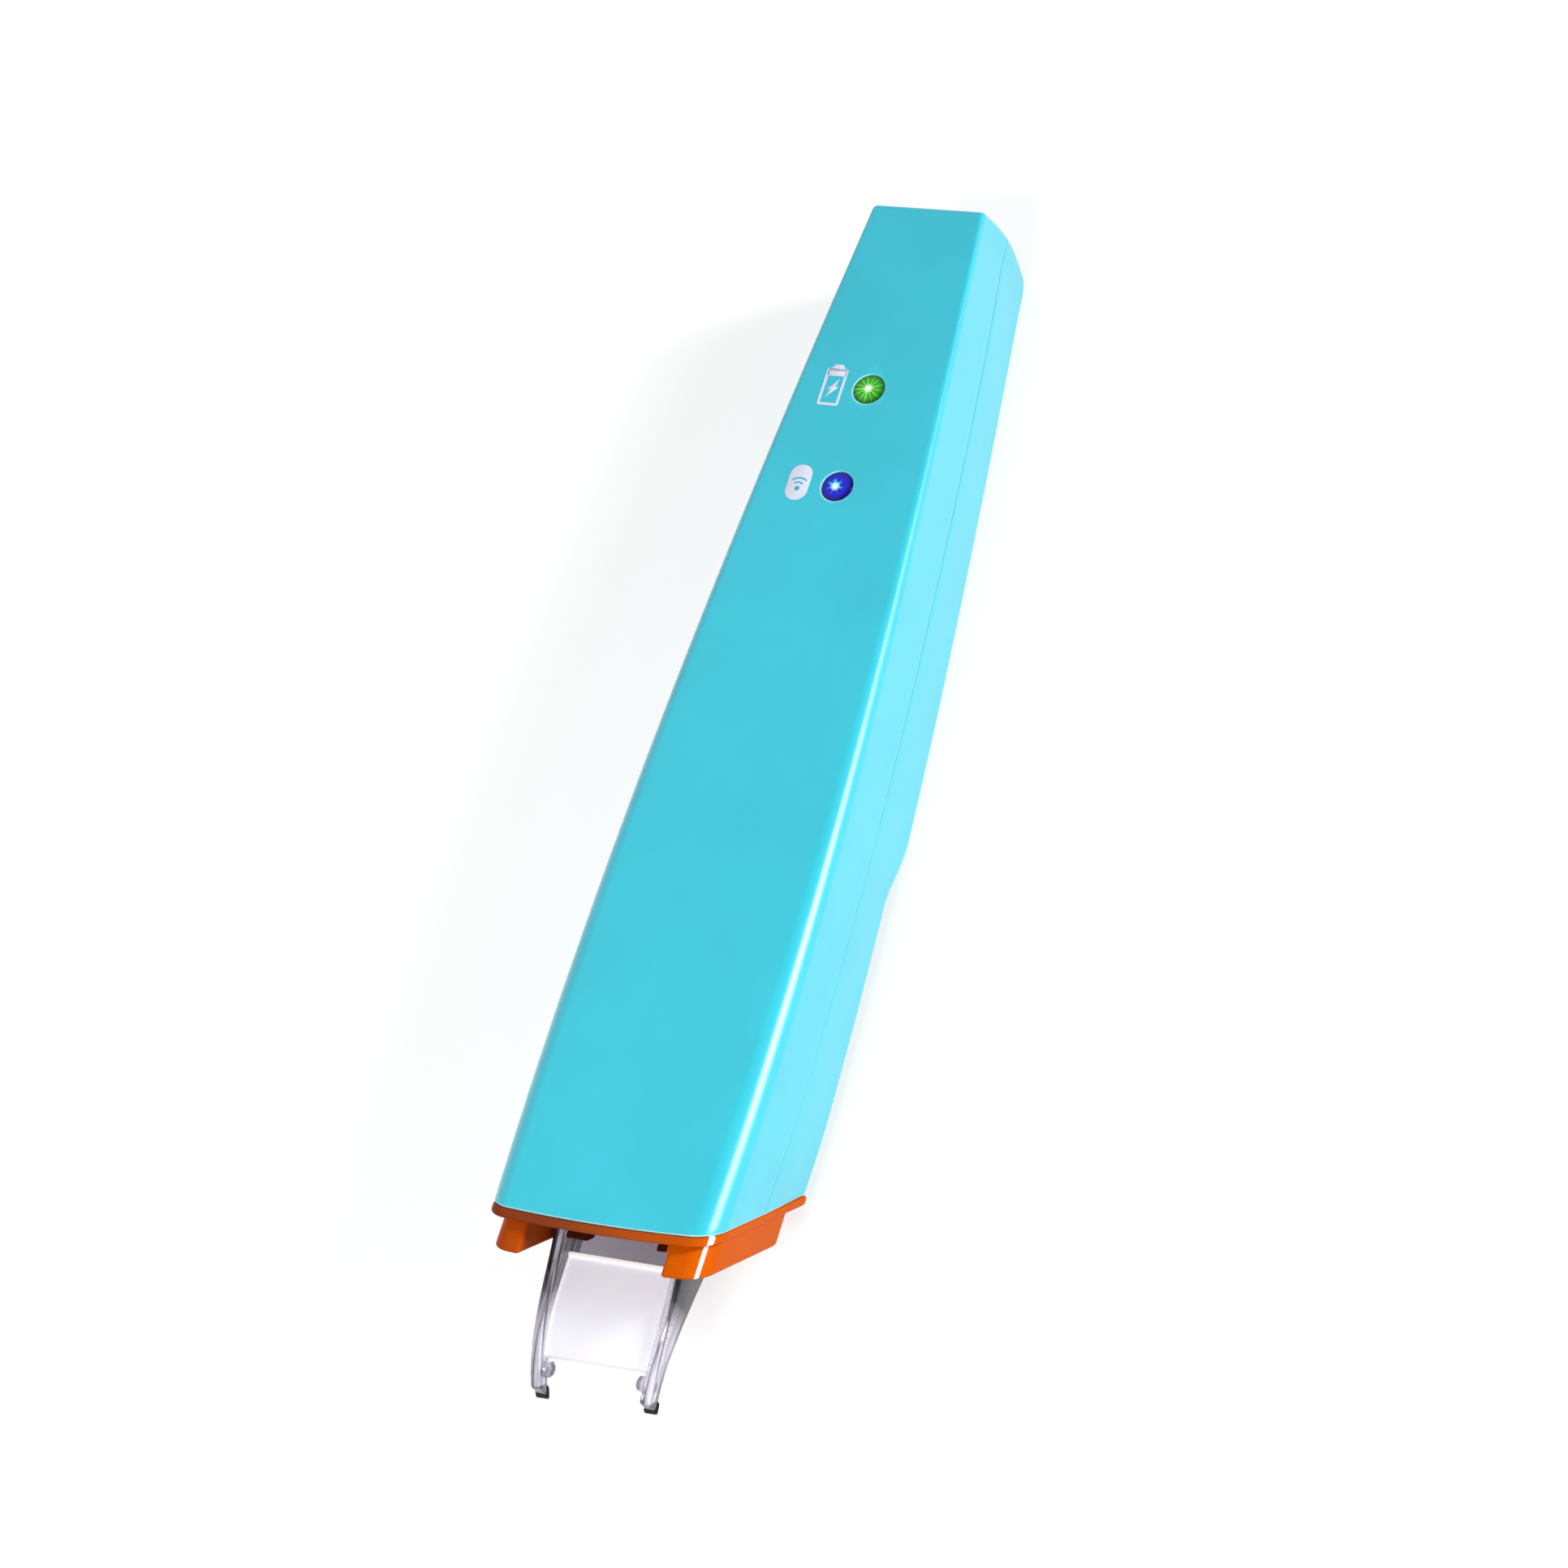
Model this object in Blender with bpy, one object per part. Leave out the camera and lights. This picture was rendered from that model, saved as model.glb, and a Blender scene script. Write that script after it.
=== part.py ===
"""A handheld text scanning pen, as an assembly of separate pieces.

Everything is modelled in the pen's own frame: X runs from the nose edge of the top
face to the tail, Z is up and the flat top face lies at Z = 0, so depths are negative.
An empty then tilts the pen so that the flat hump under it stands level on Z = 0.
Lengths are metres.
"""

import math

import bmesh
import bpy
from mathutils import Vector

# Casing
BODY_LENGTH = 0.1220
NOSE_HALF_WIDTH = 0.0131
TAIL_HALF_WIDTH = 0.00675
NOSE_FLARE = 0.030
TAIL_TAPER = -0.098
NOSE_DEPTH = 0.0186
GRIP_DEPTH = 0.0172
HUMP_DEPTH = 0.0190
TAIL_DEPTH = 0.0163
GRIP_END = 0.0450
HUMP_START = 0.0540
WALL = 0.0014
TOP_RADIUS_NOSE = 0.0020
TOP_RADIUS_TAIL = 0.0006
LOWER_RADIUS = 0.0020
SEAM_DEPTH_NOSE = 0.0096
SEAM_DEPTH_TAIL = 0.0073
NOSE_SLANT = math.radians(36.5)
SLANT_FADE = 0.0260
NOSE_BOW = 0.0007
TAIL_BOW = 0.0016
TAIL_BOW_SPAN = 0.8 * math.pi
TAIL_LOWER_RADIUS = 0.0030
GAP = 0.0003

# Collar on the scan end
FLANGE = 0.0011
FLANGE_PROUD = 0.0003
SLEEVE_LENGTH = 0.0038
SLEEVE_WALL = 0.0012
OPENING_HALF = 0.00805
OPENING_TOP = 0.0022
OPENING_BOTTOM = 0.0148
GUARD_REACH = 0.0035
GUARD_INSET = 0.0012
GUARD_TOP = 0.0011
GUARD_BOTTOM = 0.0156
GUARD_RADIUS = 0.0015
LEFT_LIP_START = 0.0009
LEFT_LIP_END = 0.0035
RIGHT_LIP_START = 0.0068
LIP_REACH = 0.0012

# Clear scan tip and what it carries
TIP_REACH = 0.0146
TIP_AXIS_DEPTH = 0.0091
TIP_DROP = 0.0025
LEG_ROOT_HEIGHT = 0.0058
LEG_END_HEIGHT = 0.0015
LEG_OUTER = 0.0075
LEG_THICKNESS = 0.0013
LEG_CONVERGE = 0.00045
TIP_ROOT = 0.0150
BRIDGE_THICKNESS = 0.0012
PANEL_THICKNESS = 0.0008
PANEL_TOP = 0.0009
PANEL_END = 0.0117
PEG_RADIUS = 0.0009
PEG_LENGTH = 0.0009
PEG_BACK = 0.0017
FOOT_THICKNESS = 0.0005
TIP_TRAVEL = 0.0015
CARRIAGE_BACK = 0.0180
CARRIAGE_SET_BACK = 0.0024
CARRIAGE_RIM = 0.0012

# Springs and the switch behind the carriage
SPRING_RADIUS = 0.00095
SPRING_WIRE = 0.00015
SPRING_CURLS = 7
SPRING_LENGTH = 0.0060
SWITCH_WIDTH = 0.0036
SWITCH_HEIGHT = 0.0020
PLUNGER_WIDTH = 0.0014
PLUNGER_HEIGHT = 0.0008
TIP_PLUNGER_LENGTH = 0.0029
BUTTON_PLUNGER_LENGTH = 0.0018
BUTTON_SWITCH_LENGTH = 0.0028

# Optics
CHASSIS_LENGTH = 0.0200
CHASSIS_HALF = 0.0070
CHASSIS_TOP = 0.0038
CHASSIS_BOTTOM = 0.0140
CHASSIS_WALL = 0.0012
CHASSIS_REAR = 0.0025
FACE_PLATE = 0.0014
WINDOW_HALF = 0.0056
WINDOW_TOP = 0.0056
WINDOW_THICKNESS = 0.0008
BARREL_RADIUS = 0.0032
BARREL_LENGTH = 0.0070
LENS_RADIUS = 0.0024
LENS_THICKNESS = 0.0012
SENSOR_SIZE = 0.0044
SENSOR_THICKNESS = 0.0009
LAMP_SIZE = 0.0016
LAMP_BOARD_HEIGHT = 0.0024
LAMP_FLOOR_GAP = 0.0013
BOARD_THICKNESS = 0.0010
RIBBON_THICKNESS = 0.0003
RIBBON_HALF = 0.0040

# Main board and its parts
BOARD_DEPTH = 0.0042
BOARD_MARGIN = 0.0007
BOARD_FRONT = 0.0500
BOARD_TAIL_GAP = 0.0050
LIGHT_RADIUS = 0.00165
LINK_LIGHT_FROM_TAIL = 0.03575
CHARGE_LIGHT_FROM_TAIL = 0.0235
PIPE_RIM = 0.0007
PIPE_RIM_HEIGHT = 0.0006
LED_SIZE = 0.0016
LED_HEIGHT = 0.0007
CHIP_HEIGHT = 0.0009
RADIO_HEIGHT = 0.0015
# Each part's share of the row between the flex socket and the link light, and its width
# over its length. What is left of the row is even gaps.
PROCESSOR_SHARE = 0.24
PROCESSOR_RATIO = 1.0
MEMORY_SHARE = 0.17
MEMORY_RATIO = 1.2
RADIO_SHARE = 0.27
RADIO_RATIO = 1.12
CRYSTAL_SHARE = 0.11
CRYSTAL_RATIO = 0.46

# Battery
BATTERY_FRONT_ROOM = 0.0040
BATTERY_REAR_ROOM = 0.0240
BATTERY_SIDE_ROOM = 0.0013
BATTERY_HEADROOM = 0.0028
FOAM_THICKNESS = 0.0012
GUARD_BOARD_LENGTH = 0.0040
LEAD_RADIUS = 0.0004
PLUG_SIZE = 0.0020
PLUG_HALF = 0.0015
PLUG_OFFSET = -0.0008

# Charging inlet
USB_HALF_WIDTH = 0.00375
USB_HEIGHT = 0.0026
USB_LENGTH = 0.0056
USB_SHEET = 0.0003
USB_INSERT_LENGTH = 0.0017

# Power button, on the left side of the tail
BUTTON_FROM_TAIL = 0.0168
BUTTON_DEPTH = BOARD_DEPTH + BOARD_THICKNESS + GAP + SWITCH_HEIGHT / 2
BUTTON_LENGTH = 0.0076
BUTTON_HEIGHT = 0.0020
BUTTON_PROUD = 0.0006
BUTTON_FLANGE = 0.0006
BUTTON_TRAVEL = 0.0005

# Screws
POST_RADIUS = 0.0019
SHANK_RADIUS = 0.0007
HEAD_RADIUS = 0.0013
HEAD_HEIGHT = 0.0010
HEAD_SINK = 0.0016
FRONT_SCREW_X = 0.0405
REAR_SCREW_FROM_TAIL = 0.0100
BOARD_SCREW_HEAD = 0.0008

LEAST_RADIUS = 0.0004
FLAT_POINTS = 3
ARC_STEPS = 3
REST_TILT = math.atan((HUMP_DEPTH - TAIL_DEPTH) / (BODY_LENGTH - HUMP_START))


def smooth(t):
    """Ease from 0 to 1 with level ends."""
    t = min(max(t, 0.0), 1.0)
    return t * t * (3 - 2 * t)


def half_width(x):
    """Half the casing's width at x: a cubic curve set by its two ends and their slopes."""
    t = x / BODY_LENGTH
    return (NOSE_HALF_WIDTH * (2 * t ** 3 - 3 * t ** 2 + 1)
            + NOSE_FLARE * BODY_LENGTH * (t ** 3 - 2 * t ** 2 + t)
            + TAIL_HALF_WIDTH * (3 * t ** 2 - 2 * t ** 3)
            + TAIL_TAPER * BODY_LENGTH * (t ** 3 - t ** 2))


def underside(x):
    """Depth of the casing at x: the nose section, the finger step and the hump."""
    lip = NOSE_DEPTH * math.tan(NOSE_SLANT)
    nose = NOSE_DEPTH + (GRIP_DEPTH - NOSE_DEPTH) * (x - lip) / (GRIP_END - lip)
    hump = HUMP_DEPTH - math.tan(REST_TILT) * (x - HUMP_START)
    step = smooth((x - GRIP_END) / (HUMP_START - GRIP_END))
    return nose + (hump - nose) * step


def tail_round(x):
    """How far the rounded lower corner of the tail lifts the underside at x."""
    reach = x - (BODY_LENGTH + TAIL_BOW - TAIL_LOWER_RADIUS)
    reach = min(max(reach, 0.0), TAIL_LOWER_RADIUS)
    return TAIL_LOWER_RADIUS - math.sqrt(TAIL_LOWER_RADIUS ** 2 - reach ** 2)


def seam(x):
    """Depth of the parting line between the two covers at x."""
    t = min(max(x / BODY_LENGTH, 0.0), 1.1)
    return SEAM_DEPTH_NOSE + (SEAM_DEPTH_TAIL - SEAM_DEPTH_NOSE) * (t ** 2 + t ** 12) / 2


def rounded_half(half, top, bottom, top_radius, lower_radius):
    """Right half of a rounded rectangle, from its top centre down to its bottom centre."""
    points = [((half - top_radius) * i / FLAT_POINTS, top) for i in range(FLAT_POINTS)]
    for centre_z, radius, start in ((top - top_radius, top_radius, 90),
                                    (bottom + lower_radius, lower_radius, 0)):
        for i in range(ARC_STEPS + 1):
            angle = math.radians(start - 90 * i / ARC_STEPS)
            points.append((half - radius + radius * math.cos(angle),
                           centre_z + radius * math.sin(angle)))
    points += [((half - lower_radius) * i / FLAT_POINTS, bottom) for i in reversed(range(FLAT_POINTS))]
    return points


def mirrored(half_points):
    """Whole outline from its right half, walked right side first."""
    return half_points + [(-y, z) for y, z in reversed(half_points[1:-1])]


def hull_ring(x, inset=0.0, offset=0.0):
    """One ring of the casing, slanted at the nose and bowed at the tail.

    inset moves the ring inwards from the outer surface, and offset slides it along X.
    """
    fade = min(1.0, max(0.0, 1 - x / SLANT_FADE))
    slant = math.tan(NOSE_SLANT) * fade
    tail = smooth(1 + (x - BODY_LENGTH) / TAIL_LOWER_RADIUS)
    low_x = x + slant * NOSE_DEPTH + TAIL_BOW * tail * math.sin(TAIL_BOW_SPAN)
    depth = underside(low_x) - tail_round(low_x)
    half = half_width(x)
    blend = smooth(x / BODY_LENGTH)
    top_radius = TOP_RADIUS_NOSE + (TOP_RADIUS_TAIL - TOP_RADIUS_NOSE) * blend
    outline = mirrored(rounded_half(half - inset, -inset, inset - depth,
                                    max(top_radius - inset, LEAST_RADIUS),
                                    max(LOWER_RADIUS - inset, LEAST_RADIUS)))
    ring = []
    for y, z in outline:
        down = -z / depth
        bow = NOSE_BOW * fade * (1 - (y / half) ** 2)
        swell = TAIL_BOW * tail * math.sin(TAIL_BOW_SPAN * min(max(down, 0.0), 1.0))
        ring.append(Vector((x + offset - slant * z - bow + swell, y, z)))
    return ring


def row_cap(count, first):
    """Level rows that close a mirrored ring, each from a point to its mirror point."""
    low = FLAT_POINTS + 2 * (ARC_STEPS + 1) - 1
    faces = [list(range(-FLAT_POINTS - 1, FLAT_POINTS + 2))]
    faces += [[-i, i, i + 1, -i - 1] for i in range(FLAT_POINTS + 1, low - 1)]
    faces.append(list(range(low - 1, count - low + 2)))
    return [[first + i % count for i in face] for face in faces]


def column_cap(count, first):
    """Upright strips that close a mirrored ring, each from its top side to its under side."""
    last = count // 2
    faces = []
    for i in range(last // 2):
        faces.append([i, i + 1, last - i - 1, last - i])
        faces.append([i - last, i + 1 - last, -i - 1, -i])
    return [[first + i % count for i in face] for face in faces]


def skin_between(rings):
    """Points of all rings, and the faces between each ring and the next."""
    count = len(rings[0])
    verts = [point for ring in rings for point in ring]
    faces = []
    for start in range(0, len(verts) - count, count):
        for i in range(count):
            j = (i + 1) % count
            faces.append([start + i, start + j, start + count + j, start + count + i])
    return verts, faces


def loft(rings, end_cap=column_cap):
    """Closed skin through mirrored rings: columns close its front, end_cap its far end."""
    count = len(rings[0])
    verts, faces = skin_between(rings)
    return verts, faces + column_cap(count, 0) + end_cap(count, len(verts) - count)


def strip(rings):
    """Closed skin through plain rings, each end closed by one flat face."""
    count = len(rings[0])
    verts, faces = skin_between(rings)
    return verts, faces + [list(range(count)), list(range(len(verts) - count, len(verts)))]


def box(x, y, z):
    """Box between three pairs of limits."""
    corners = [Vector((x[0], a, b)) for a, b in ((y[0], z[0]), (y[1], z[0]), (y[1], z[1]), (y[0], z[1]))]
    far = [Vector((x[1], p.y, p.z)) for p in corners]
    return strip([corners, far])


def prism(outline, y):
    """Outline in the XZ plane, drawn out between two Y limits."""
    return strip([[Vector((px, value, pz)) for px, pz in outline] for value in y])


def rod(centre, axis, radii, reach, sides=14):
    """Turned rod: radii and reach list each ring's radius and its place along the axis."""
    axis = Vector(axis)
    across = Vector((0, 1, 0)) if abs(axis.y) < 0.5 else Vector((1, 0, 0))
    other = axis.cross(across)
    rings = []
    for radius, along in zip(radii, reach):
        rings.append([Vector(centre) + axis * along
                      + across * radius * math.cos(2 * math.pi * i / sides)
                      + other * radius * math.sin(2 * math.pi * i / sides) for i in range(sides)])
    return strip(rings)


def joined(shapes):
    """Several closed shapes as one list of points and faces."""
    verts, faces = [], []
    for shape_verts, shape_faces in shapes:
        start = len(verts)
        verts += shape_verts
        faces += [[start + i for i in face] for face in shape_faces]
    return verts, faces


def finish(name, colour, roughness, metallic=0.0, alpha=1.0, glow=0.0):
    """Principled material for one piece."""
    material = bpy.data.materials.new(name)
    material.use_nodes = True
    shader = material.node_tree.nodes["Principled BSDF"]
    shader.inputs["Base Color"].default_value = (*colour, 1.0)
    shader.inputs["Roughness"].default_value = roughness
    shader.inputs["Metallic"].default_value = metallic
    shader.inputs["Alpha"].default_value = alpha
    if glow:
        shader.inputs["Emission Color"].default_value = (*colour, 1.0)
        shader.inputs["Emission Strength"].default_value = glow
    return material


def holder(name, carrier=None, place=(0.0, 0.0, 0.0)):
    """Empty that carries other pieces."""
    empty = bpy.data.objects.new(name, None)
    bpy.context.scene.collection.objects.link(empty)
    empty.parent = carrier
    empty.location = place
    return empty


def piece(name, shape, material, carrier, sharp=35):
    """Mesh object from points in the pen's frame, set on its carrier empty."""
    verts, faces = shape
    mesh = bpy.data.meshes.new(name)
    mesh.from_pydata([tuple(v) for v in verts], [], faces)
    skin = bmesh.new()
    skin.from_mesh(mesh)
    bmesh.ops.triangulate(skin, faces=skin.faces[:])
    bmesh.ops.recalc_face_normals(skin, faces=skin.faces[:])
    skin.to_mesh(mesh)
    skin.free()
    mesh.shade_smooth()
    mesh.set_sharp_from_angle(angle=math.radians(sharp))
    mesh.materials.append(material)
    item = bpy.data.objects.new(name, mesh)
    bpy.context.scene.collection.objects.link(item)
    item.parent = carrier
    if carrier.parent:
        item.location = -carrier.location
    return item


def shape_with(target, operation, name, shape):
    """Boolean modifier with a hidden tool, so target gains or loses shape."""
    tool = piece(name, shape, target.data.materials[0], FRAME)
    tool.hide_render = True
    tool.display_type = "WIRE"
    modifier = target.modifiers.new(name, "BOOLEAN")
    modifier.solver = "EXACT"
    modifier.operation = operation
    modifier.object = tool


def cut(target, name, shape):
    """Take shape away from target."""
    shape_with(target, "DIFFERENCE", name, shape)


def fuse(target, name, shape):
    """Join shape to target."""
    shape_with(target, "UNION", name, shape)


def wire(name, points, radius, material, carrier):
    """Round wire along points, with closed ends."""
    curve = bpy.data.curves.new(name, "CURVE")
    curve.dimensions = "3D"
    curve.bevel_depth = radius
    curve.bevel_resolution = 1
    curve.use_fill_caps = True
    path = curve.splines.new("POLY")
    path.points.add(len(points) - 1)
    for point, place in zip(path.points, points):
        point.co = (*place, 1.0)
    curve.materials.append(material)
    item = bpy.data.objects.new(name, curve)
    bpy.context.scene.collection.objects.link(item)
    item.parent = carrier
    return item


def eased(route, steps):
    """Points of a smooth curve through the route's points."""
    points = []
    ends = [route[0] * 2 - route[1]] + route + [route[-1] * 2 - route[-2]]
    for a, b, c, d in zip(ends, ends[1:], ends[2:], ends[3:]):
        for i in range(steps):
            t = i / steps
            points.append(0.5 * ((2 * b) + (c - a) * t + (2 * a - 5 * b + 4 * c - d) * t ** 2
                                 + (3 * b - a - 3 * c + d) * t ** 3))
    return points + [route[-1]]


for leftover in list(bpy.data.objects):
    bpy.data.objects.remove(leftover)

FRAME = holder("pen_frame")
TIP_SLIDE = holder("tip_slide", FRAME, (0.0, 0.0, -TIP_AXIS_DEPTH))
BUTTON_SLIDE = holder("button_slide", FRAME,
                      (BODY_LENGTH - BUTTON_FROM_TAIL,
                       half_width(BODY_LENGTH - BUTTON_FROM_TAIL), -BUTTON_DEPTH))

CASE_BLUE = finish("case_blue", (0.057, 0.604, 0.722), 0.38)
COLLAR_ORANGE = finish("collar_orange", (0.745, 0.117, 0.004), 0.28)
CLEAR = finish("clear_plastic", (0.86, 0.86, 0.90), 0.05, alpha=0.35)
WHITE = finish("white_plastic", (0.86, 0.86, 0.92), 0.35)
BLACK_RUBBER = finish("black_rubber", (0.012, 0.012, 0.012), 0.7)
BLACK = finish("black_plastic", (0.02, 0.02, 0.022), 0.5)
STEEL = finish("steel", (0.62, 0.62, 0.64), 0.3, metallic=1.0)
BOARD_GREEN = finish("board_green", (0.01, 0.13, 0.05), 0.45)
RIBBON_AMBER = finish("ribbon_amber", (0.55, 0.22, 0.03), 0.35)
CELL_SILVER = finish("cell_silver", (0.5, 0.51, 0.53), 0.4, metallic=0.8)
FOAM_GREY = finish("foam_grey", (0.1, 0.1, 0.11), 0.9)
GREEN_GLOW = finish("green_glow", (0.05, 0.5, 0.03), 0.2, glow=1.0)
BLUE_GLOW = finish("blue_glow", (0.01, 0.08, 0.75), 0.2, glow=1.0)
LAMP_WHITE = finish("lamp_white", (0.9, 0.88, 0.7), 0.3)
LEAD_RED = finish("lead_red", (0.5, 0.01, 0.01), 0.45)


def stations():
    """Places along X where the casing gets a ring."""
    spans = ((0.0, SLANT_FADE, (0, 0.06, 0.15, 0.3, 0.5, 0.75)),
             (SLANT_FADE, GRIP_END, (0, 0.5)),
             (GRIP_END, HUMP_START, (0, 0.2, 0.4, 0.6, 0.8)),
             (HUMP_START, BODY_LENGTH - TAIL_LOWER_RADIUS, (0, 0.2, 0.4, 0.6, 0.8)),
             (BODY_LENGTH - TAIL_LOWER_RADIUS, BODY_LENGTH, (0, 0.3, 0.6, 0.85)))
    return [start + (end - start) * share for start, end, shares in spans for share in shares]


def outer_shape():
    """Whole outer skin of the casing."""
    rings = [hull_ring(x) for x in stations()]
    rings.append(hull_ring(BODY_LENGTH, inset=LEAST_RADIUS / 2))
    return loft(rings, row_cap)


def inner_shape():
    """Hollow of the casing, open past the nose."""
    rings = [hull_ring(0.0, WALL, -FLANGE)]
    rings += [hull_ring(x, WALL) for x in stations() if x < BODY_LENGTH - TAIL_LOWER_RADIUS]
    rings.append(hull_ring(BODY_LENGTH, WALL, -WALL))
    return loft(rings, row_cap)


def seam_block(side):
    """Everything above (side 1) or below (side -1) the parting line, and half its gap."""
    reach = BODY_LENGTH / 5
    xs = [-reach] + [BODY_LENGTH * i / 16 for i in range(17)] + [BODY_LENGTH + reach]
    line = [(x, -seam(x) - side * GAP / 2) for x in xs]
    far = side * BODY_LENGTH / 4
    line += [(xs[-1], far), (xs[0], far)]
    return prism(line, (-2 * NOSE_HALF_WIDTH, 2 * NOSE_HALF_WIDTH))


def level(x, y, z, radii, ends, sides=14):
    """Upright rod at x, y, with radii at the depths in ends, measured from z."""
    return rod((x, y, z), (0, 0, 1), radii, ends, sides)


def cover_screw_places():
    """X and Y of the four screws that join the covers, beside the side walls."""
    rear = BODY_LENGTH - REAR_SCREW_FROM_TAIL
    return [(x, side * (half_width(x) - WALL - POST_RADIUS + GAP))
            for x in (FRONT_SCREW_X, rear) for side in (-1, 1)]


def board_screw_places():
    """X and Y of the screws that hold the main board."""
    front = BOARD_FRONT + 2 * HEAD_RADIUS + 2 * POST_RADIUS
    return [(front, -half_width(front) / 2), (front, half_width(front) / 2)]


def capsule(x, z, length, height, steps=5):
    """Outline with round ends in the XZ plane."""
    points = []
    for side in (1, -1):
        for i in range(steps + 1):
            angle = math.radians(-90 + 180 * i / steps)
            points.append((x + side * ((length - height) / 2 + height / 2 * math.cos(angle)),
                           z + side * height / 2 * math.sin(angle)))
    return points


def light_places():
    """Name and X of the two indicator windows on the centreline."""
    return (("charge", BODY_LENGTH - CHARGE_LIGHT_FROM_TAIL),
            ("link", BODY_LENGTH - LINK_LIGHT_FROM_TAIL))


def usb_depths(clearance=0.0):
    """Lower and upper Z of the charging inlet under the board."""
    top = -(BOARD_DEPTH + BOARD_THICKNESS + GAP)
    return top - USB_HEIGHT - clearance, top + clearance


def usb_opening():
    """Block that cuts the inlet's hole through the tail wall."""
    half = USB_HALF_WIDTH + GAP
    return box((BODY_LENGTH - 2 * WALL, BODY_LENGTH + TAIL_BOW + WALL), (-half, half), usb_depths(GAP))


def build_top_cover():
    """Upper cover with its screw posts, window holes and button slot."""
    cover = piece("top_cover", outer_shape(), CASE_BLUE, FRAME)
    cut(cover, "guide_top_hollow", inner_shape())
    cut(cover, "guide_top_seam", seam_block(-1))
    posts = [level(x, y, 0, (POST_RADIUS, POST_RADIUS), (-WALL / 2, GAP / 2 - seam(x)))
             for x, y in cover_screw_places()]
    posts += [level(x, y, 0, (POST_RADIUS, POST_RADIUS), (-WALL / 2, GAP - BOARD_DEPTH))
              for x, y in board_screw_places()]
    fuse(cover, "guide_top_posts", joined(posts))
    bore = SHANK_RADIUS + GAP
    holes = [level(x, y, -seam(x), (bore, bore), (-GAP, 2 * POST_RADIUS)) for x, y in cover_screw_places()]
    holes += [level(x, y, -BOARD_DEPTH, (bore, bore), (-GAP, BOARD_DEPTH - WALL))
              for x, y in board_screw_places()]
    window = LIGHT_RADIUS + GAP
    holes += [level(x, 0, 0, (window, window), (-2 * WALL, WALL), 24) for _, x in light_places()]
    holes.append(usb_opening())
    x = BODY_LENGTH - BUTTON_FROM_TAIL
    slot = capsule(x, -BUTTON_DEPTH, BUTTON_LENGTH + 2 * GAP, BUTTON_HEIGHT + 2 * GAP)
    holes.append(prism(slot, (half_width(x) - 2 * WALL, half_width(x) + 2 * WALL)))
    cut(cover, "guide_top_holes", joined(holes))


def head_top(x):
    """Z of the top face of a cover screw's head."""
    return -underside(x) + HEAD_SINK + HEAD_HEIGHT


def build_bottom_cover():
    """Lower cover with its posts and counterbored screw holes."""
    cover = piece("bottom_cover", outer_shape(), CASE_BLUE, FRAME)
    cut(cover, "guide_bottom_hollow", inner_shape())
    cut(cover, "guide_bottom_seam", seam_block(1))
    posts, holes = [], []
    for x, y in cover_screw_places():
        floor = -underside(x) + WALL / 2
        posts.append(level(x, y, 0, (POST_RADIUS + GAP, POST_RADIUS + GAP), (floor, -seam(x) - GAP / 2)))
        sink, bore = HEAD_RADIUS + GAP, SHANK_RADIUS + GAP
        holes.append(level(x, y, 0, (sink, sink, bore, bore),
                           (-underside(x) - WALL, head_top(x) + GAP, head_top(x) + GAP, -seam(x) + GAP)))
    holes.append(usb_opening())
    fuse(cover, "guide_bottom_posts", joined(posts))
    cut(cover, "guide_bottom_holes", joined(holes))


def nose_slice(inset, offsets):
    """Slab that follows the slanted nose end, between two offsets behind it."""
    return loft([hull_ring(0.0, inset, offset) for offset in offsets])


def nose_block(y, z, offsets, radius=LEAST_RADIUS):
    """Block with the nose's slant between Y and Z limits, rounded on its outer side."""
    side = 1 if y[1] > 0 else -1
    far, near = (y[1], y[0]) if side > 0 else (y[0], y[1])
    outline = [(near, z[1]), (near, z[0])]
    for centre_z, start in ((z[0] + radius, -90), (z[1] - radius, 0)):
        for i in range(ARC_STEPS + 1):
            angle = math.radians(start + 90 * i / ARC_STEPS)
            outline.append((far - side * radius * (1 - math.cos(angle)),
                            centre_z + radius * math.sin(angle)))
    slant = math.tan(NOSE_SLANT)
    return strip([[Vector((offset - slant * pz, py, pz)) for py, pz in outline] for offset in offsets])


def build_collar():
    """Orange collar: flange, sleeve inside the covers, two side guards and two lips."""
    front = -GAP - FLANGE
    collar = piece("nose_collar", nose_slice(-FLANGE_PROUD, (front, -GAP)), COLLAR_ORANGE, FRAME)
    middle = -GAP - FLANGE / 2
    fuse(collar, "guide_sleeve", nose_slice(WALL + GAP, (middle, SLEEVE_LENGTH)))
    cut(collar, "guide_opening", nose_block((-OPENING_HALF, OPENING_HALF), (-OPENING_BOTTOM, -OPENING_TOP),
                                            (front - FLANGE, SLEEVE_LENGTH + FLANGE)))
    cut(collar, "guide_sleeve_hollow", nose_slice(WALL + GAP + SLEEVE_WALL, (0.0, SLEEVE_LENGTH + WALL)))
    outer = NOSE_HALF_WIDTH - GUARD_INSET
    inner = OPENING_HALF + GAP / 3
    guards = [nose_block(y, (-GUARD_BOTTOM, -GUARD_TOP), (front - GUARD_REACH, middle), GUARD_RADIUS)
              for y in ((inner, outer), (-outer, -inner))]
    lips = [nose_block(y, (-OPENING_TOP - GAP, -OPENING_TOP / 2), (front - LIP_REACH, middle))
            for y in ((LEFT_LIP_START, LEFT_LIP_END), (-(inner + outer) / 2, -RIGHT_LIP_START))]
    fuse(collar, "guide_guards", joined(guards))
    fuse(collar, "guide_lips", joined(lips))


def tip_middle(x):
    """Z of the middle line of the clear tip, which drops towards the feet."""
    t = min(max(-x / TIP_REACH, 0.0), 1.1)
    return -TIP_AXIS_DEPTH - TIP_DROP * t ** 3


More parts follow.
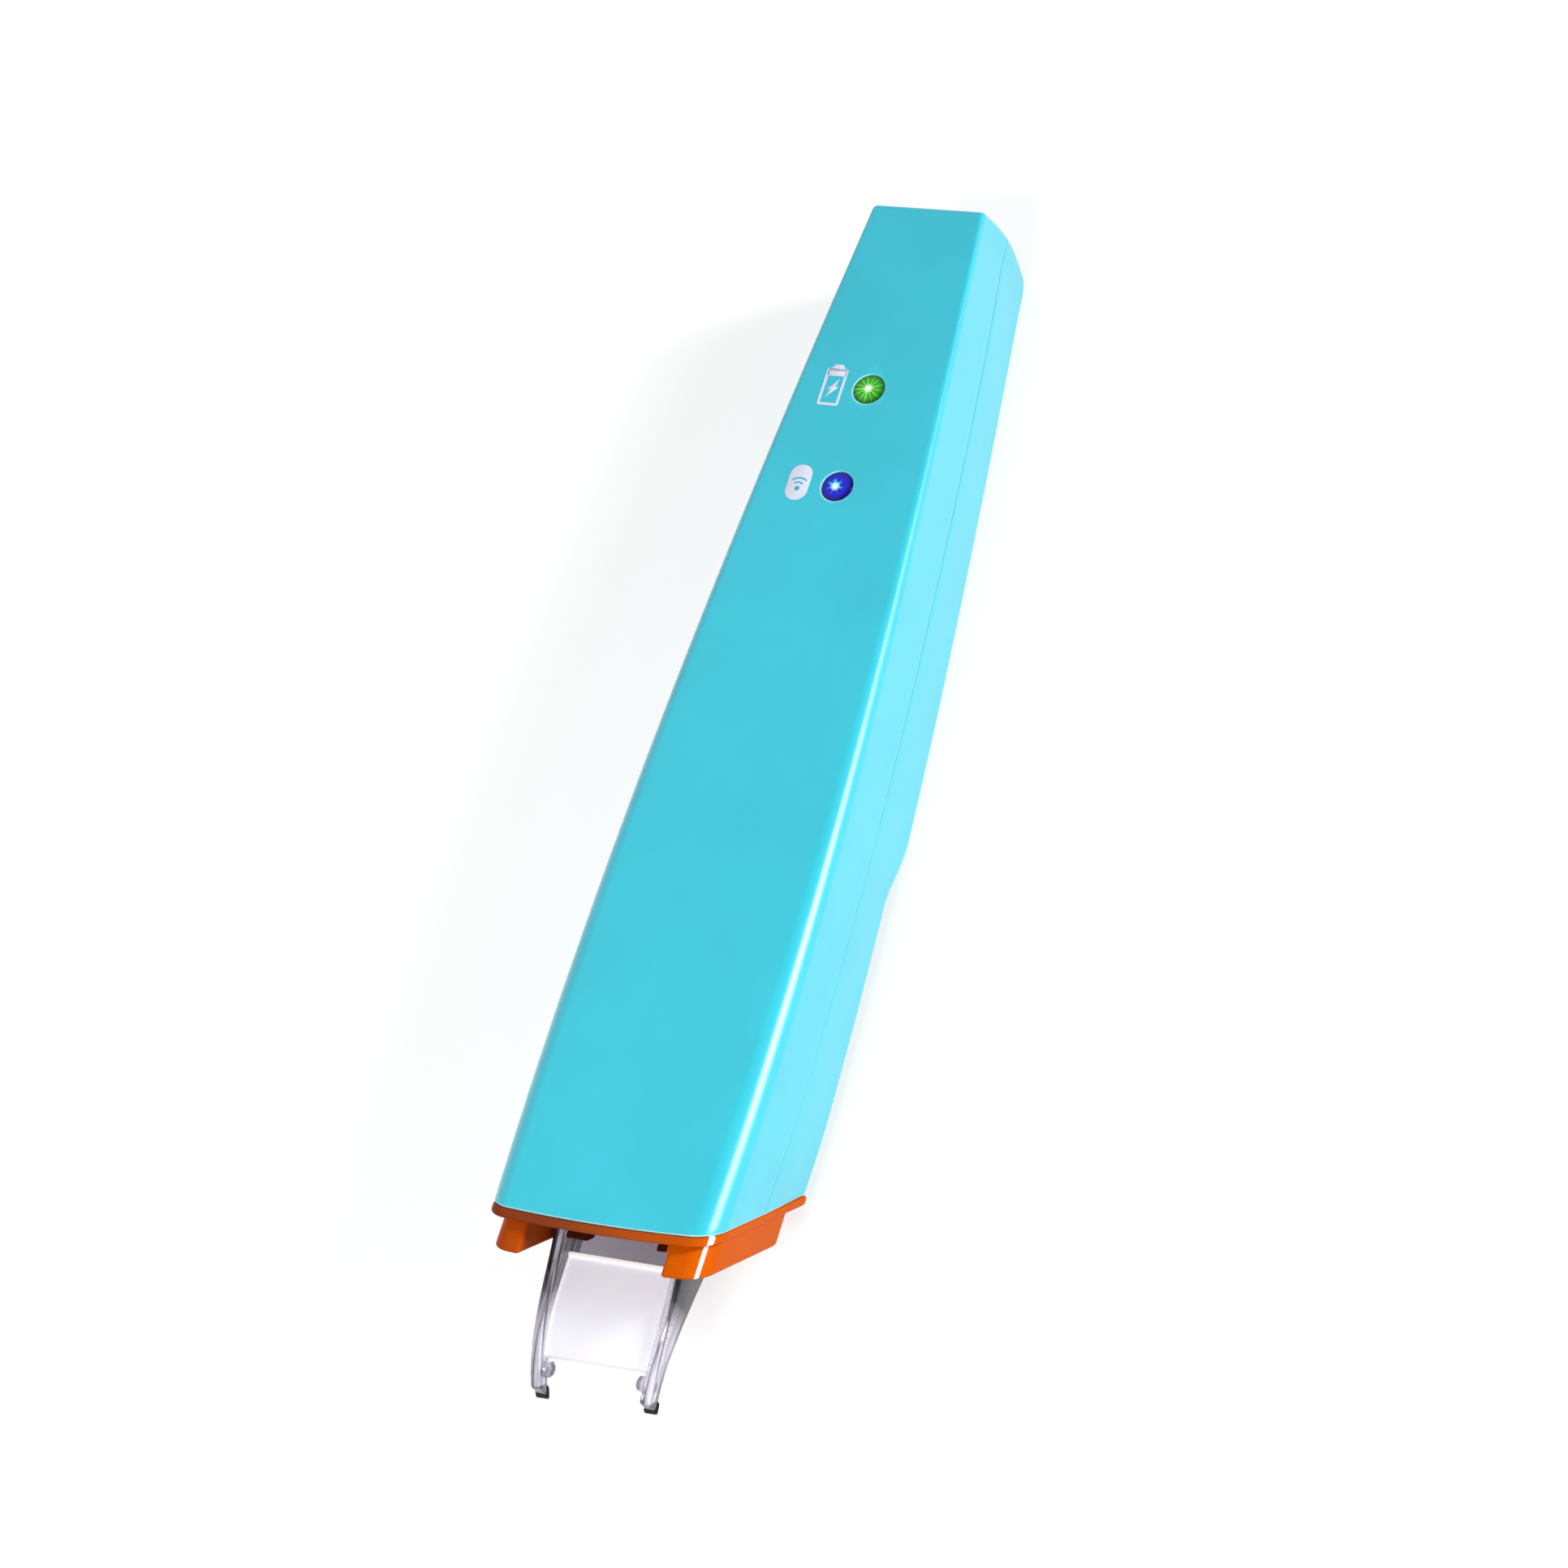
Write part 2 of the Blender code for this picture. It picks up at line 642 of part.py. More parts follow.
def leg_height(x):
    """Height of a guide leg at x, from its deep root to its slim foot."""
    t = min(max(-x / TIP_REACH, 0.0), 1.0)
    return LEG_END_HEIGHT + (LEG_ROOT_HEIGHT - LEG_END_HEIGHT) * (1 - t) ** 2


def leg_outer(x):
    """Y of a leg's outer face: the legs close in a little towards the feet."""
    return LEG_OUTER - LEG_CONVERGE * min(max(-x / TIP_REACH, 0.0), 1.0)


def tip_xs(start, end, steps):
    """Even places along X from start to end."""
    return [start + (end - start) * i / steps for i in range(steps + 1)]


def curved_plate(xs, half, thickness, drop=0.0):
    """Plate that follows the tip's middle line, drop below it."""
    rings = []
    for x in xs:
        top = tip_middle(x) - drop + thickness / 2
        rings.append([Vector((x, y, z)) for y, z in ((half, top), (-half, top), (-half, top - thickness),
                                                     (half, top - thickness))])
    return strip(rings)


def build_tip():
    """Clear moulding with two legs, its white panel and the two black feet."""
    xs = tip_xs(-TIP_REACH, 0.0, 8) + [TIP_ROOT]
    legs = []
    for side in (1, -1):
        rings = []
        for x in xs:
            outer, height, middle = leg_outer(x), leg_height(x), tip_middle(x)
            rings.append([Vector((x, side * y, middle + z * height))
                          for y, z in ((outer, 0.5), (outer - LEG_THICKNESS, 0.5),
                                       (outer - LEG_THICKNESS, -0.5), (outer, -0.5))])
        legs.append(strip(rings))
    tip = piece("clear_tip", joined(legs), CLEAR, TIP_SLIDE)
    inner = LEG_OUTER - LEG_THICKNESS
    bridge_end = GAP - PANEL_TOP
    fuse(tip, "guide_bridge", curved_plate((bridge_end, TIP_ROOT - GAP), inner + GAP, BRIDGE_THICKNESS))
    peg_x = PEG_BACK - TIP_REACH
    peg_root = leg_outer(peg_x) - LEG_THICKNESS / 2
    pegs = [rod((peg_x, side * peg_root, tip_middle(peg_x)), (0, -side, 0), (PEG_RADIUS, PEG_RADIUS),
                (0.0, LEG_THICKNESS / 2 + PEG_LENGTH), 12) for side in (1, -1)]
    fuse(tip, "guide_pegs", joined(pegs))
    panel_half = leg_outer(-PANEL_END) - LEG_THICKNESS - GAP
    piece("reflector_panel", curved_plate(tip_xs(-PANEL_END, -PANEL_TOP, 6), panel_half, PANEL_THICKNESS),
          WHITE, TIP_SLIDE)
    for name, side in (("left_foot", 1), ("right_foot", -1)):
        outer = leg_outer(-TIP_REACH)
        middle, half = tip_middle(-TIP_REACH), LEG_END_HEIGHT / 2
        pad = piece(name, box((-TIP_REACH - GAP - FOOT_THICKNESS, -TIP_REACH - GAP),
                              sorted((side * outer, side * (outer - LEG_THICKNESS))),
                              (middle - half, middle + half)), BLACK_RUBBER, TIP_SLIDE)
        edge = pad.modifiers.new("pad_edge", "BEVEL")
        edge.width = FOOT_THICKNESS / 4
        edge.segments = 1


def carriage_inset():
    """How far the carriage lies inside the casing's outer skin, behind the sleeve."""
    return WALL + GAP + SLEEVE_WALL + GAP


def hole_limits():
    """Y half and Z limits of the carriage's light path, which takes the tip's root."""
    inset = carriage_inset() + CARRIAGE_RIM
    return LEG_OUTER + GAP, (inset - underside(CARRIAGE_BACK), -inset)


def build_carriage():
    """Frame that holds the clear tip and slides inside the collar's sleeve."""
    front = hull_ring(0.0, carriage_inset(), CARRIAGE_SET_BACK)
    back = [Vector((CARRIAGE_BACK, p.y, p.z)) for p in front]
    carriage = piece("tip_carriage", loft([front, back]), BLACK, TIP_SLIDE)
    half, depths = hole_limits()
    cut(carriage, "guide_light_path", box((-CARRIAGE_BACK, 2 * CARRIAGE_BACK), (-half, half), depths))


def spring_y():
    """Y of a tip spring, in the middle of the carriage's side wall."""
    return (hole_limits()[0] + NOSE_HALF_WIDTH - carriage_inset()) / 2


def build_springs():
    """Two coil springs between the carriage and the face plate."""
    turn_points = 9
    start, length = CARRIAGE_BACK + GAP + SPRING_WIRE, SPRING_LENGTH - 2 * (GAP + SPRING_WIRE)
    for name, side in (("left_tip_spring", 1), ("right_tip_spring", -1)):
        points = []
        for i in range(SPRING_CURLS * turn_points + 1):
            angle = 2 * math.pi * i / turn_points
            points.append(Vector((start + length * i / (SPRING_CURLS * turn_points),
                                  side * spring_y() + SPRING_RADIUS * math.cos(angle),
                                  -TIP_AXIS_DEPTH + SPRING_RADIUS * math.sin(angle))))
        wire(name, points, SPRING_WIRE, STEEL, FRAME)
    pitch = length / SPRING_CURLS
    print(f"Least gap between spring curls at rest: {1000 * (pitch - 2 * SPRING_WIRE):.2f} mm")


def build_switch(name, carrier, place, axis, plunger_length, body_length, travel):
    """Push switch: place is the plunger's tip, axis points into the body."""
    axis = Vector(axis)
    across = Vector((0, 1, 0)) if abs(axis.x) > 0.5 else Vector((1, 0, 0))
    place = Vector(place)
    front = travel + LEAST_RADIUS

    def block(start, end, width, height):
        a = place + axis * start - across * width / 2
        b = place + axis * end + across * width / 2
        return box(sorted((a.x, b.x)), sorted((a.y, b.y)), (place.z - height / 2, place.z + height / 2))

    body = piece(name + "_body", block(front, front + body_length, SWITCH_WIDTH, SWITCH_HEIGHT),
                 BLACK, FRAME)
    cut(body, "guide_" + name + "_pocket",
        block(0.0, plunger_length + travel + GAP, PLUNGER_WIDTH + 2 * GAP, PLUNGER_HEIGHT + 2 * GAP))
    piece(name + "_plunger", block(0.0, plunger_length, PLUNGER_WIDTH, PLUNGER_HEIGHT), STEEL, carrier)


def face_x():
    """X of the front of the optics face plate, one spring length behind the carriage."""
    return CARRIAGE_BACK + SPRING_LENGTH


def build_tip_switch():
    """Switch that the carriage's top rim presses."""
    rim_middle = -carriage_inset() - CARRIAGE_RIM / 2
    body = SPRING_LENGTH - GAP - TIP_TRAVEL - LEAST_RADIUS - GAP
    build_switch("tip_switch", TIP_SLIDE, (CARRIAGE_BACK + GAP, 0.0, rim_middle), (1, 0, 0),
                 TIP_PLUNGER_LENGTH, body, TIP_TRAVEL)


def window_bottom():
    """Depth of the optics window's lower edge, above the lamps on the casing's floor."""
    floor = underside(face_x()) - WALL - LAMP_FLOOR_GAP
    return floor - LAMP_BOARD_HEIGHT - GAP


def build_optics():
    """Chassis with its face plate, window, lens barrel, lens, sensor and lamps."""
    x = face_x()
    low_edge = window_bottom()
    plate_ring = [Vector((x, p.y, p.z)) for p in hull_ring(x, WALL + GAP)]
    back_ring = [p + Vector((FACE_PLATE, 0, 0)) for p in plate_ring]
    chassis = piece("optics_chassis", loft([plate_ring, back_ring]), BLACK, FRAME)
    rear = x + CHASSIS_LENGTH
    fuse(chassis, "guide_chassis_body", box((x + FACE_PLATE / 2, rear), (-CHASSIS_HALF, CHASSIS_HALF),
                                            (-CHASSIS_BOTTOM, -CHASSIS_TOP)))
    cut(chassis, "guide_window", box((x - WALL, x + 2 * FACE_PLATE), (-WINDOW_HALF, WINDOW_HALF),
                                     (-low_edge, -WINDOW_TOP)))
    inner = CHASSIS_HALF - CHASSIS_WALL
    cut(chassis, "guide_cavity", box((x + FACE_PLATE + GAP, rear - CHASSIS_REAR), (-inner, inner),
                                     (CHASSIS_WALL - CHASSIS_BOTTOM, -CHASSIS_TOP - CHASSIS_WALL)))
    axis_z = -(CHASSIS_TOP + CHASSIS_BOTTOM) / 2
    bore = BARREL_RADIUS + GAP
    cut(chassis, "guide_barrel_bore", rod((rear, 0, axis_z), (1, 0, 0), (bore, bore),
                                          (-2 * CHASSIS_REAR, CHASSIS_REAR), 20))
    slot = RIBBON_HALF + GAP
    cut(chassis, "guide_flex_slot", box((x - WALL, x + 2 * FACE_PLATE), (-slot, slot),
                                        (flex_z() - RIBBON_THICKNESS / 2 - GAP, 0.0)))
    glass_x = x + (FACE_PLATE - WINDOW_THICKNESS) / 2
    piece("optics_window", box((glass_x, glass_x + WINDOW_THICKNESS), (GAP - WINDOW_HALF, WINDOW_HALF - GAP),
                               (GAP - low_edge, -GAP - WINDOW_TOP)), CLEAR, FRAME)
    sensor_front = rear - SENSOR_THICKNESS
    barrel_end = sensor_front - GAP
    bore = LENS_RADIUS + GAP
    barrel = piece("lens_barrel", rod((barrel_end, 0, axis_z), (-1, 0, 0), (BARREL_RADIUS, BARREL_RADIUS),
                                      (0.0, BARREL_LENGTH), 20), BLACK, FRAME)
    cut(barrel, "guide_lens_bore", rod((barrel_end, 0, axis_z), (-1, 0, 0), (bore, bore),
                                       (-GAP, BARREL_LENGTH + GAP), 20))
    lens_x = barrel_end - BARREL_LENGTH + 2 * LENS_THICKNESS
    rim = LENS_THICKNESS / 4
    piece("imaging_lens", rod((lens_x, 0, axis_z), (-1, 0, 0),
                              (LENS_RADIUS / 2, LENS_RADIUS, LENS_RADIUS, LENS_RADIUS / 2),
                              (0.0, rim, LENS_THICKNESS - rim, LENS_THICKNESS), 20), CLEAR, FRAME)
    half = SENSOR_SIZE / 2
    piece("image_sensor", box((sensor_front, rear), (-half, half), (axis_z - half, axis_z + half)),
          BLACK, FRAME)
    board_x = rear + GAP
    piece("sensor_board", box((board_x, board_x + BOARD_THICKNESS), (CHASSIS_WALL / 2 - CHASSIS_HALF,
                                                                     CHASSIS_HALF - CHASSIS_WALL / 2),
                              (CHASSIS_WALL / 2 - CHASSIS_BOTTOM, -CHASSIS_TOP - CHASSIS_WALL / 2)),
          BOARD_GREEN, FRAME)
    build_lamps(x)
    return board_x + BOARD_THICKNESS


def build_lamps(x):
    """Lamp board on the face plate under the window, with its two white lamps."""
    top = -window_bottom() - GAP
    low = top - LAMP_BOARD_HEIGHT
    board = x - GAP
    piece("lamp_board", box((board - BOARD_THICKNESS, board), (-WINDOW_HALF, WINDOW_HALF), (low, top)),
          BOARD_GREEN, FRAME)
    for name, side in (("left_lamp", 1), ("right_lamp", -1)):
        y, z, half = side * WINDOW_HALF / 2, (low + top) / 2, LAMP_SIZE / 2
        lamp_x = board - BOARD_THICKNESS - GAP
        piece(name, box((lamp_x - LAMP_SIZE / 2, lamp_x), (y - half, y + half), (z - half, z + half)),
              LAMP_WHITE, FRAME)


def flex_z():
    """Middle height of the front flex, just over the tip switch."""
    switch_top = -carriage_inset() - CARRIAGE_RIM / 2 + SWITCH_HEIGHT / 2
    return switch_top + GAP + RIBBON_THICKNESS / 2


def socket_end():
    """X of the rear end of the flex socket at the front of the board."""
    return BOARD_FRONT + GAP + RIBBON_HALF


def build_ribbons(sensor_end):
    """Flat ribbons that join the front parts and the sensor to the main board."""
    switch_x = CARRIAGE_BACK + GAP + TIP_TRAVEL + LEAST_RADIUS
    z = flex_z()
    low = z - RIBBON_THICKNESS / 2
    sides = (-RIBBON_HALF, RIBBON_HALF)
    piece("front_flex", box((switch_x, socket_end()), sides, (low, z + RIBBON_THICKNESS / 2)),
          RIBBON_AMBER, FRAME)
    piece("flex_socket", box((BOARD_FRONT + GAP, socket_end()), sides, (GAP - BOARD_DEPTH, low - GAP)),
          BLACK, FRAME)
    top = -(BOARD_DEPTH + BOARD_THICKNESS + GAP)
    piece("sensor_ribbon", box((sensor_end + GAP, BOARD_FRONT + RIBBON_HALF), sides,
                               (top - RIBBON_THICKNESS, top)), RIBBON_AMBER, FRAME)


def build_main_board():
    """Board that follows the casing's taper, notched round the screw posts."""
    end = BODY_LENGTH - BOARD_TAIL_GAP
    xs = tip_xs(BOARD_FRONT, end, 8)
    right = [(x, half_width(x) - WALL - BOARD_MARGIN) for x in xs]
    outline = right + [(x, -y) for x, y in reversed(right)]
    levels = (-BOARD_DEPTH - BOARD_THICKNESS, -BOARD_DEPTH)
    board = piece("main_board", strip([[Vector((x, y, z)) for x, y in outline] for z in levels]),
                  BOARD_GREEN, FRAME)
    notch = POST_RADIUS + 2 * GAP
    bore = SHANK_RADIUS + GAP
    low, high = levels[0] - BOARD_THICKNESS, levels[1] + BOARD_THICKNESS
    holes = [level(x, y, 0, (notch, notch), (low, high)) for x, y in cover_screw_places() if x > BOARD_FRONT]
    holes += [level(x, y, 0, (bore, bore), (low, high)) for x, y in board_screw_places()]
    cut(board, "guide_board_holes", joined(holes))


def on_board(name, x, y, size, height, material):
    """Part that stands on top of the main board, centred at x and y."""
    base = GAP - BOARD_DEPTH
    piece(name, box((x - size[0] / 2, x + size[0] / 2), (y - size[1] / 2, y + size[1] / 2),
                    (base, base + height)), material, FRAME)


def build_chips():
    """Chips and the radio module in a row on top of the board, with the crystal beside."""
    start = socket_end()
    link_x = light_places()[1][1]
    row = link_x - LIGHT_RADIUS - PIPE_RIM - start
    gap = row * (1 - PROCESSOR_SHARE - MEMORY_SHARE - RADIO_SHARE) / 4
    places = []
    for name, share, ratio, height, material in (
            ("processor_chip", PROCESSOR_SHARE, PROCESSOR_RATIO, CHIP_HEIGHT, BLACK),
            ("memory_chip", MEMORY_SHARE, MEMORY_RATIO, CHIP_HEIGHT, BLACK),
            ("radio_module", RADIO_SHARE, RADIO_RATIO, RADIO_HEIGHT, STEEL)):
        length = share * row
        x = start + gap + length / 2
        on_board(name, x, 0.0, (length, length * ratio), height, material)
        places.append(x)
        start = x + length / 2
    crystal = CRYSTAL_SHARE * row
    beside = (PROCESSOR_SHARE * PROCESSOR_RATIO * row + CRYSTAL_RATIO * crystal) / 2 + CHIP_HEIGHT
    on_board("clock_crystal", places[0], beside, (crystal, crystal * CRYSTAL_RATIO), CHIP_HEIGHT, STEEL)


def build_indicators():
    """Light pipe and its lamp for each of the two indicator windows."""
    glow = {"charge": GREEN_GLOW, "link": BLUE_GLOW}
    lamp_top = GAP - BOARD_DEPTH + LED_HEIGHT
    rim_top = -WALL - GAP
    rim = LIGHT_RADIUS + PIPE_RIM
    foot = LIGHT_RADIUS - PIPE_RIM
    for name, x in light_places():
        piece(name + "_light_pipe",
              level(x, 0, 0, (LIGHT_RADIUS, LIGHT_RADIUS, rim, rim, foot, foot),
                    (0.0, rim_top, rim_top, rim_top - PIPE_RIM_HEIGHT, rim_top - PIPE_RIM_HEIGHT,
                     lamp_top + GAP), 24), glow[name], FRAME)
        on_board(name + "_led", x, 0.0, (LED_SIZE, LED_SIZE), LED_HEIGHT, glow[name])


def cell_floor(x):
    """Z of the underside of the battery's foam pad at x."""
    return WALL + GAP - underside(x)


def build_battery():
    """Cell on its foam pad, its protection board, two leads and their plug."""
    ends = (HUMP_START + BATTERY_FRONT_ROOM, BODY_LENGTH - BATTERY_REAR_ROOM)
    rest = FOAM_THICKNESS + GAP
    cell_half = half_width(ends[1]) - WALL - BATTERY_SIDE_ROOM
    thickness = -BOARD_DEPTH - BOARD_THICKNESS - BATTERY_HEADROOM - cell_floor(ends[1]) - rest

    def slab(lift, height, margin):
        inside = (ends[0] + margin, ends[1] - margin)
        return ([(x, cell_floor(x) + lift) for x in inside]
                + [(x, cell_floor(x) + lift + height) for x in inside[::-1]])

    half = cell_half - FOAM_THICKNESS / 2
    piece("battery_foam", prism(slab(0.0, FOAM_THICKNESS, FOAM_THICKNESS), (-half, half)), FOAM_GREY, FRAME)
    cell = piece("battery", prism(slab(rest, thickness, 0.0), (-cell_half, cell_half)), CELL_SILVER, FRAME)
    edge = cell.modifiers.new("cell_edge", "BEVEL")
    edge.width = thickness / 6
    edge.segments = 2
    x = ends[1] + GAP
    z = cell_floor(x) + rest + thickness / 2
    half = cell_half - BOARD_THICKNESS
    piece("protection_board", box((x, x + GUARD_BOARD_LENGTH), (-half, half), (z, z + BOARD_THICKNESS)),
          BOARD_GREEN, FRAME)
    build_leads(x + GUARD_BOARD_LENGTH / 2, z + BOARD_THICKNESS + GAP)


def build_leads(x, z):
    """Red and black leads from the protection board up to the plug under the main board."""
    top = -(BOARD_DEPTH + BOARD_THICKNESS + GAP)
    lead_z = top - PLUG_SIZE / 2
    plug_x = x + 5 * LEAD_RADIUS
    header_x = plug_x + PLUG_SIZE + GAP
    sides = (PLUG_OFFSET - PLUG_HALF, PLUG_OFFSET + PLUG_HALF)
    levels = (top - PLUG_SIZE, top)
    piece("battery_plug", box((plug_x, plug_x + PLUG_SIZE), sides, levels), WHITE, FRAME)
    piece("battery_header", box((header_x, header_x + PLUG_SIZE), sides, levels), BLACK, FRAME)
    end = plug_x - GAP
    for name, side, material in (("battery_lead_red", 1, LEAD_RED),
                                 ("battery_lead_black", -1, BLACK_RUBBER)):
        y = PLUG_OFFSET + side * PLUG_HALF / 2
        route = [Vector(p) for p in ((x, y, z), (x, y, z + 2 * LEAD_RADIUS),
                                     (x, y, lead_z - 3 * LEAD_RADIUS),
                                     (x + LEAD_RADIUS, y, lead_z - LEAD_RADIUS),
                                     (end - LEAD_RADIUS, y, lead_z), (end, y, lead_z))]
        wire(name, eased(route, 2), LEAD_RADIUS, material, FRAME)


def build_usb():
    """Metal shell of the charging inlet with its plastic insert."""
    low, high = usb_depths()
    end = BODY_LENGTH + TAIL_BOW / 2
    half = USB_HALF_WIDTH
    shell = piece("usb_shell", box((end - USB_LENGTH, end), (-half, half), (low, high)), STEEL, FRAME)
    sheet = USB_SHEET
    cut(shell, "guide_usb_bore", box((end - 2 * USB_LENGTH, end + WALL), (sheet - half, half - sheet),
                                     (low + sheet, high - sheet)))
    room = sheet + GAP
    back = (end - USB_LENGTH + GAP, end - USB_LENGTH + GAP + USB_INSERT_LENGTH)
    insert = piece("usb_insert", box(back, (room - half, half - room), (low + room, high - room)),
                   BLACK, FRAME)
    middle = (low + high) / 2
    fuse(insert, "guide_usb_tongue", box((back[1] - GAP, end - WALL), (-half / 2, half / 2),
                                         (middle - sheet, middle + sheet)))


def wall_ring(z_middle, grow, offset):
    """Capsule ring of the power button, offset from the casing's side wall.

    A positive grow only lengthens it, into ears that hold the button in its slot.
    """
    x = BODY_LENGTH - BUTTON_FROM_TAIL
    outline = capsule(x, z_middle, BUTTON_LENGTH + 2 * grow, BUTTON_HEIGHT + min(2 * grow, 0.0))
    return [Vector((px, half_width(px) + offset, pz)) for px, pz in outline]


def build_power_button():
    """Capsule button in the left wall with its inner flange, over a push switch."""
    flange = -WALL - GAP
    z = -BUTTON_DEPTH
    soft = BUTTON_PROUD / 3
    rings = [wall_ring(z, BUTTON_FLANGE, flange - BUTTON_FLANGE), wall_ring(z, BUTTON_FLANGE, flange),
             wall_ring(z, 0.0, flange), wall_ring(z, 0.0, BUTTON_PROUD - soft),
             wall_ring(z, -soft, BUTTON_PROUD)]
    piece("power_button", strip(rings), COLLAR_ORANGE, BUTTON_SLIDE)
    x = BODY_LENGTH - BUTTON_FROM_TAIL
    tip_y = half_width(x) + flange - BUTTON_FLANGE - 2 * GAP
    build_switch("power_switch", BUTTON_SLIDE, (x, tip_y, z), (0, -1, 0), BUTTON_PLUNGER_LENGTH,
                 BUTTON_SWITCH_LENGTH, BUTTON_TRAVEL)


def screw(name, x, y, top, head_height, end):
    """Round headed screw whose head's inner face is at top and whose shank ends at end."""
    piece(name, level(x, y, 0, (HEAD_RADIUS, HEAD_RADIUS, SHANK_RADIUS, SHANK_RADIUS),
                      (top - head_height, top, top, end), 12), STEEL, FRAME)


def build_screws():
    """Four cover screws and the two screws that hold the board."""
    bite = WALL + GAP
    names = ("front_right_screw", "front_left_screw", "rear_right_screw", "rear_left_screw")
    for name, (x, y) in zip(names, cover_screw_places()):
        screw(name, x, y, head_top(x), HEAD_HEIGHT, -seam(x) + bite)
    for name, (x, y) in zip(("right_board_screw", "left_board_screw"), board_screw_places()):
        screw(name, x, y, -(BOARD_DEPTH + BOARD_THICKNESS + GAP), BOARD_SCREW_HEAD, bite - BOARD_DEPTH)


def centre_on_origin():
    """Tilt the pen onto its flat hump and centre its box on the origin, at Z = 0."""
    FRAME.rotation_euler = (0.0, REST_TILT, 0.0)
    bpy.context.view_layer.update()
    graph = bpy.context.evaluated_depsgraph_get()
    corners = []
    for item in bpy.data.objects:
        if item.type == "MESH" and not item.hide_render:
            solid = item.evaluated_get(graph)
            corners += [solid.matrix_world @ vert.co for vert in solid.data.vertices]
    low = [min(p[i] for p in corners) for i in range(3)]
    high = [max(p[i] for p in corners) for i in range(3)]
    FRAME.location = (-(low[0] + high[0]) / 2, -(low[1] + high[1]) / 2, -low[2])
    bpy.context.view_layer.update()


build_top_cover()
build_bottom_cover()
build_collar()
build_tip()
build_carriage()
build_springs()
build_tip_switch()
build_ribbons(build_optics())
build_main_board()
build_chips()
build_indicators()
build_battery()
build_usb()
build_power_button()
build_screws()
centre_on_origin()
for holder_name in ("tip_slide", "button_slide"):
    spot = bpy.data.objects[holder_name].matrix_world.translation
    print(holder_name, "at", [round(value, 5) for value in spot])
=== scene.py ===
"""Looks of a handheld scanning pen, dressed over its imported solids.

Surfaces are worked out with numpy in the pen's own frame: X runs from the nose edge of the
flat top face to the tail, Y to the left side and Z up out of the top face, whose height is 0.
PenFrame then tilts the points onto the flat hump that the pen rests on. Lengths are metres.
"""

from __future__ import annotations

import logging
import math
from dataclasses import dataclass
from enum import Enum
from functools import reduce
from operator import add
from typing import Any, Iterable, Sequence

import bmesh
import bpy
import numpy as np
from mathutils import Matrix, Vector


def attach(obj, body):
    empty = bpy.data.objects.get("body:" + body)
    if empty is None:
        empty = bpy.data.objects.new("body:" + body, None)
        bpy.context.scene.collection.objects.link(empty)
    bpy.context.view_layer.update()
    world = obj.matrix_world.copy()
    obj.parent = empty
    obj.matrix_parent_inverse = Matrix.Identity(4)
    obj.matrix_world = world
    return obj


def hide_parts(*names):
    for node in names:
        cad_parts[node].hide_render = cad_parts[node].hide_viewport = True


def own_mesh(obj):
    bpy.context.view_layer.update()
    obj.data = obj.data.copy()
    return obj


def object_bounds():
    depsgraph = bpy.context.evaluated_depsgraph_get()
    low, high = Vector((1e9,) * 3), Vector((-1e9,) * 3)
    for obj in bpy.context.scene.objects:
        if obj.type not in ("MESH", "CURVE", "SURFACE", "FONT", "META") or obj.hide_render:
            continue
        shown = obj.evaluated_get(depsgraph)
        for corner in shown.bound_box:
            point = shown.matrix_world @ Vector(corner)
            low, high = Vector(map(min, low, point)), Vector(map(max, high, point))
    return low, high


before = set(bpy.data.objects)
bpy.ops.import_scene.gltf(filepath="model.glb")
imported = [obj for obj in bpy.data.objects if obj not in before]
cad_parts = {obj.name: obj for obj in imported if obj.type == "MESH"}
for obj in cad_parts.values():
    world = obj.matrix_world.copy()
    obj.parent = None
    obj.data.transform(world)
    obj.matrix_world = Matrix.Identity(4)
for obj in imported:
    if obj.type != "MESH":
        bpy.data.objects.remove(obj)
CAD_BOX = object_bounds()

Array = np.ndarray
Pair = tuple[float, float]
Triple = tuple[float, float, float]
Colour = Triple
Material, Piece, Socket = bpy.types.Material, bpy.types.Object, bpy.types.NodeSocket
LOG = logging.getLogger("scanning_pen")
MM = 0.001
WELD = 0.001 * MM
WHITE = (1.0, 1.0, 1.0, 1.0)
UP = (0.0, 0.0, 1.0)
WINDOWS = (98.5 * MM, 86.25 * MM)


class Body(Enum):
    """Bodies that the pieces ride on."""

    CASING = "casing"
    TIP = "tip"
    BUTTON = "button"


class Slot(Enum):
    """Material slots of the record."""

    CASE_BLUE = "case_blue"
    COLLAR_ORANGE = "collar_orange"
    CLEAR_PLASTIC = "clear_plastic"
    WHITE_PLASTIC = "white_plastic"
    BLACK_RUBBER = "black_rubber"
    BLACK_PLASTIC = "black_plastic"
    STEEL = "steel"
    GREEN_GLOW = "green_glow"
    BLUE_GLOW = "blue_glow"


class Cover(Enum):
    """The two halves of the casing, by the side of the parting line that each lies on."""

    TOP = 1
    BOTTOM = -1


# --------------------------------------------------------------------------- frame and meshes


@dataclass(frozen=True)
class PenFrame:
    """Where the pen's own frame lies in the part's frame."""

    tilt: float = math.atan(2.7 / 68.0)
    origin: Triple = (-53.410 * MM, 0.0, 21.1275 * MM)

    def turned(self, vectors: Array) -> Array:
        """Vectors turned about Y by the tilt."""
        c, s = math.cos(self.tilt), math.sin(self.tilt)
        return vectors @ np.array([[c, 0.0, s], [0.0, 1.0, 0.0], [-s, 0.0, c]]).T

    def placed(self, points: Array) -> Array:
        """Points turned about Y by the tilt, then moved to the origin of the pen."""
        return self.turned(points) + np.array(self.origin)


PEN = PenFrame()


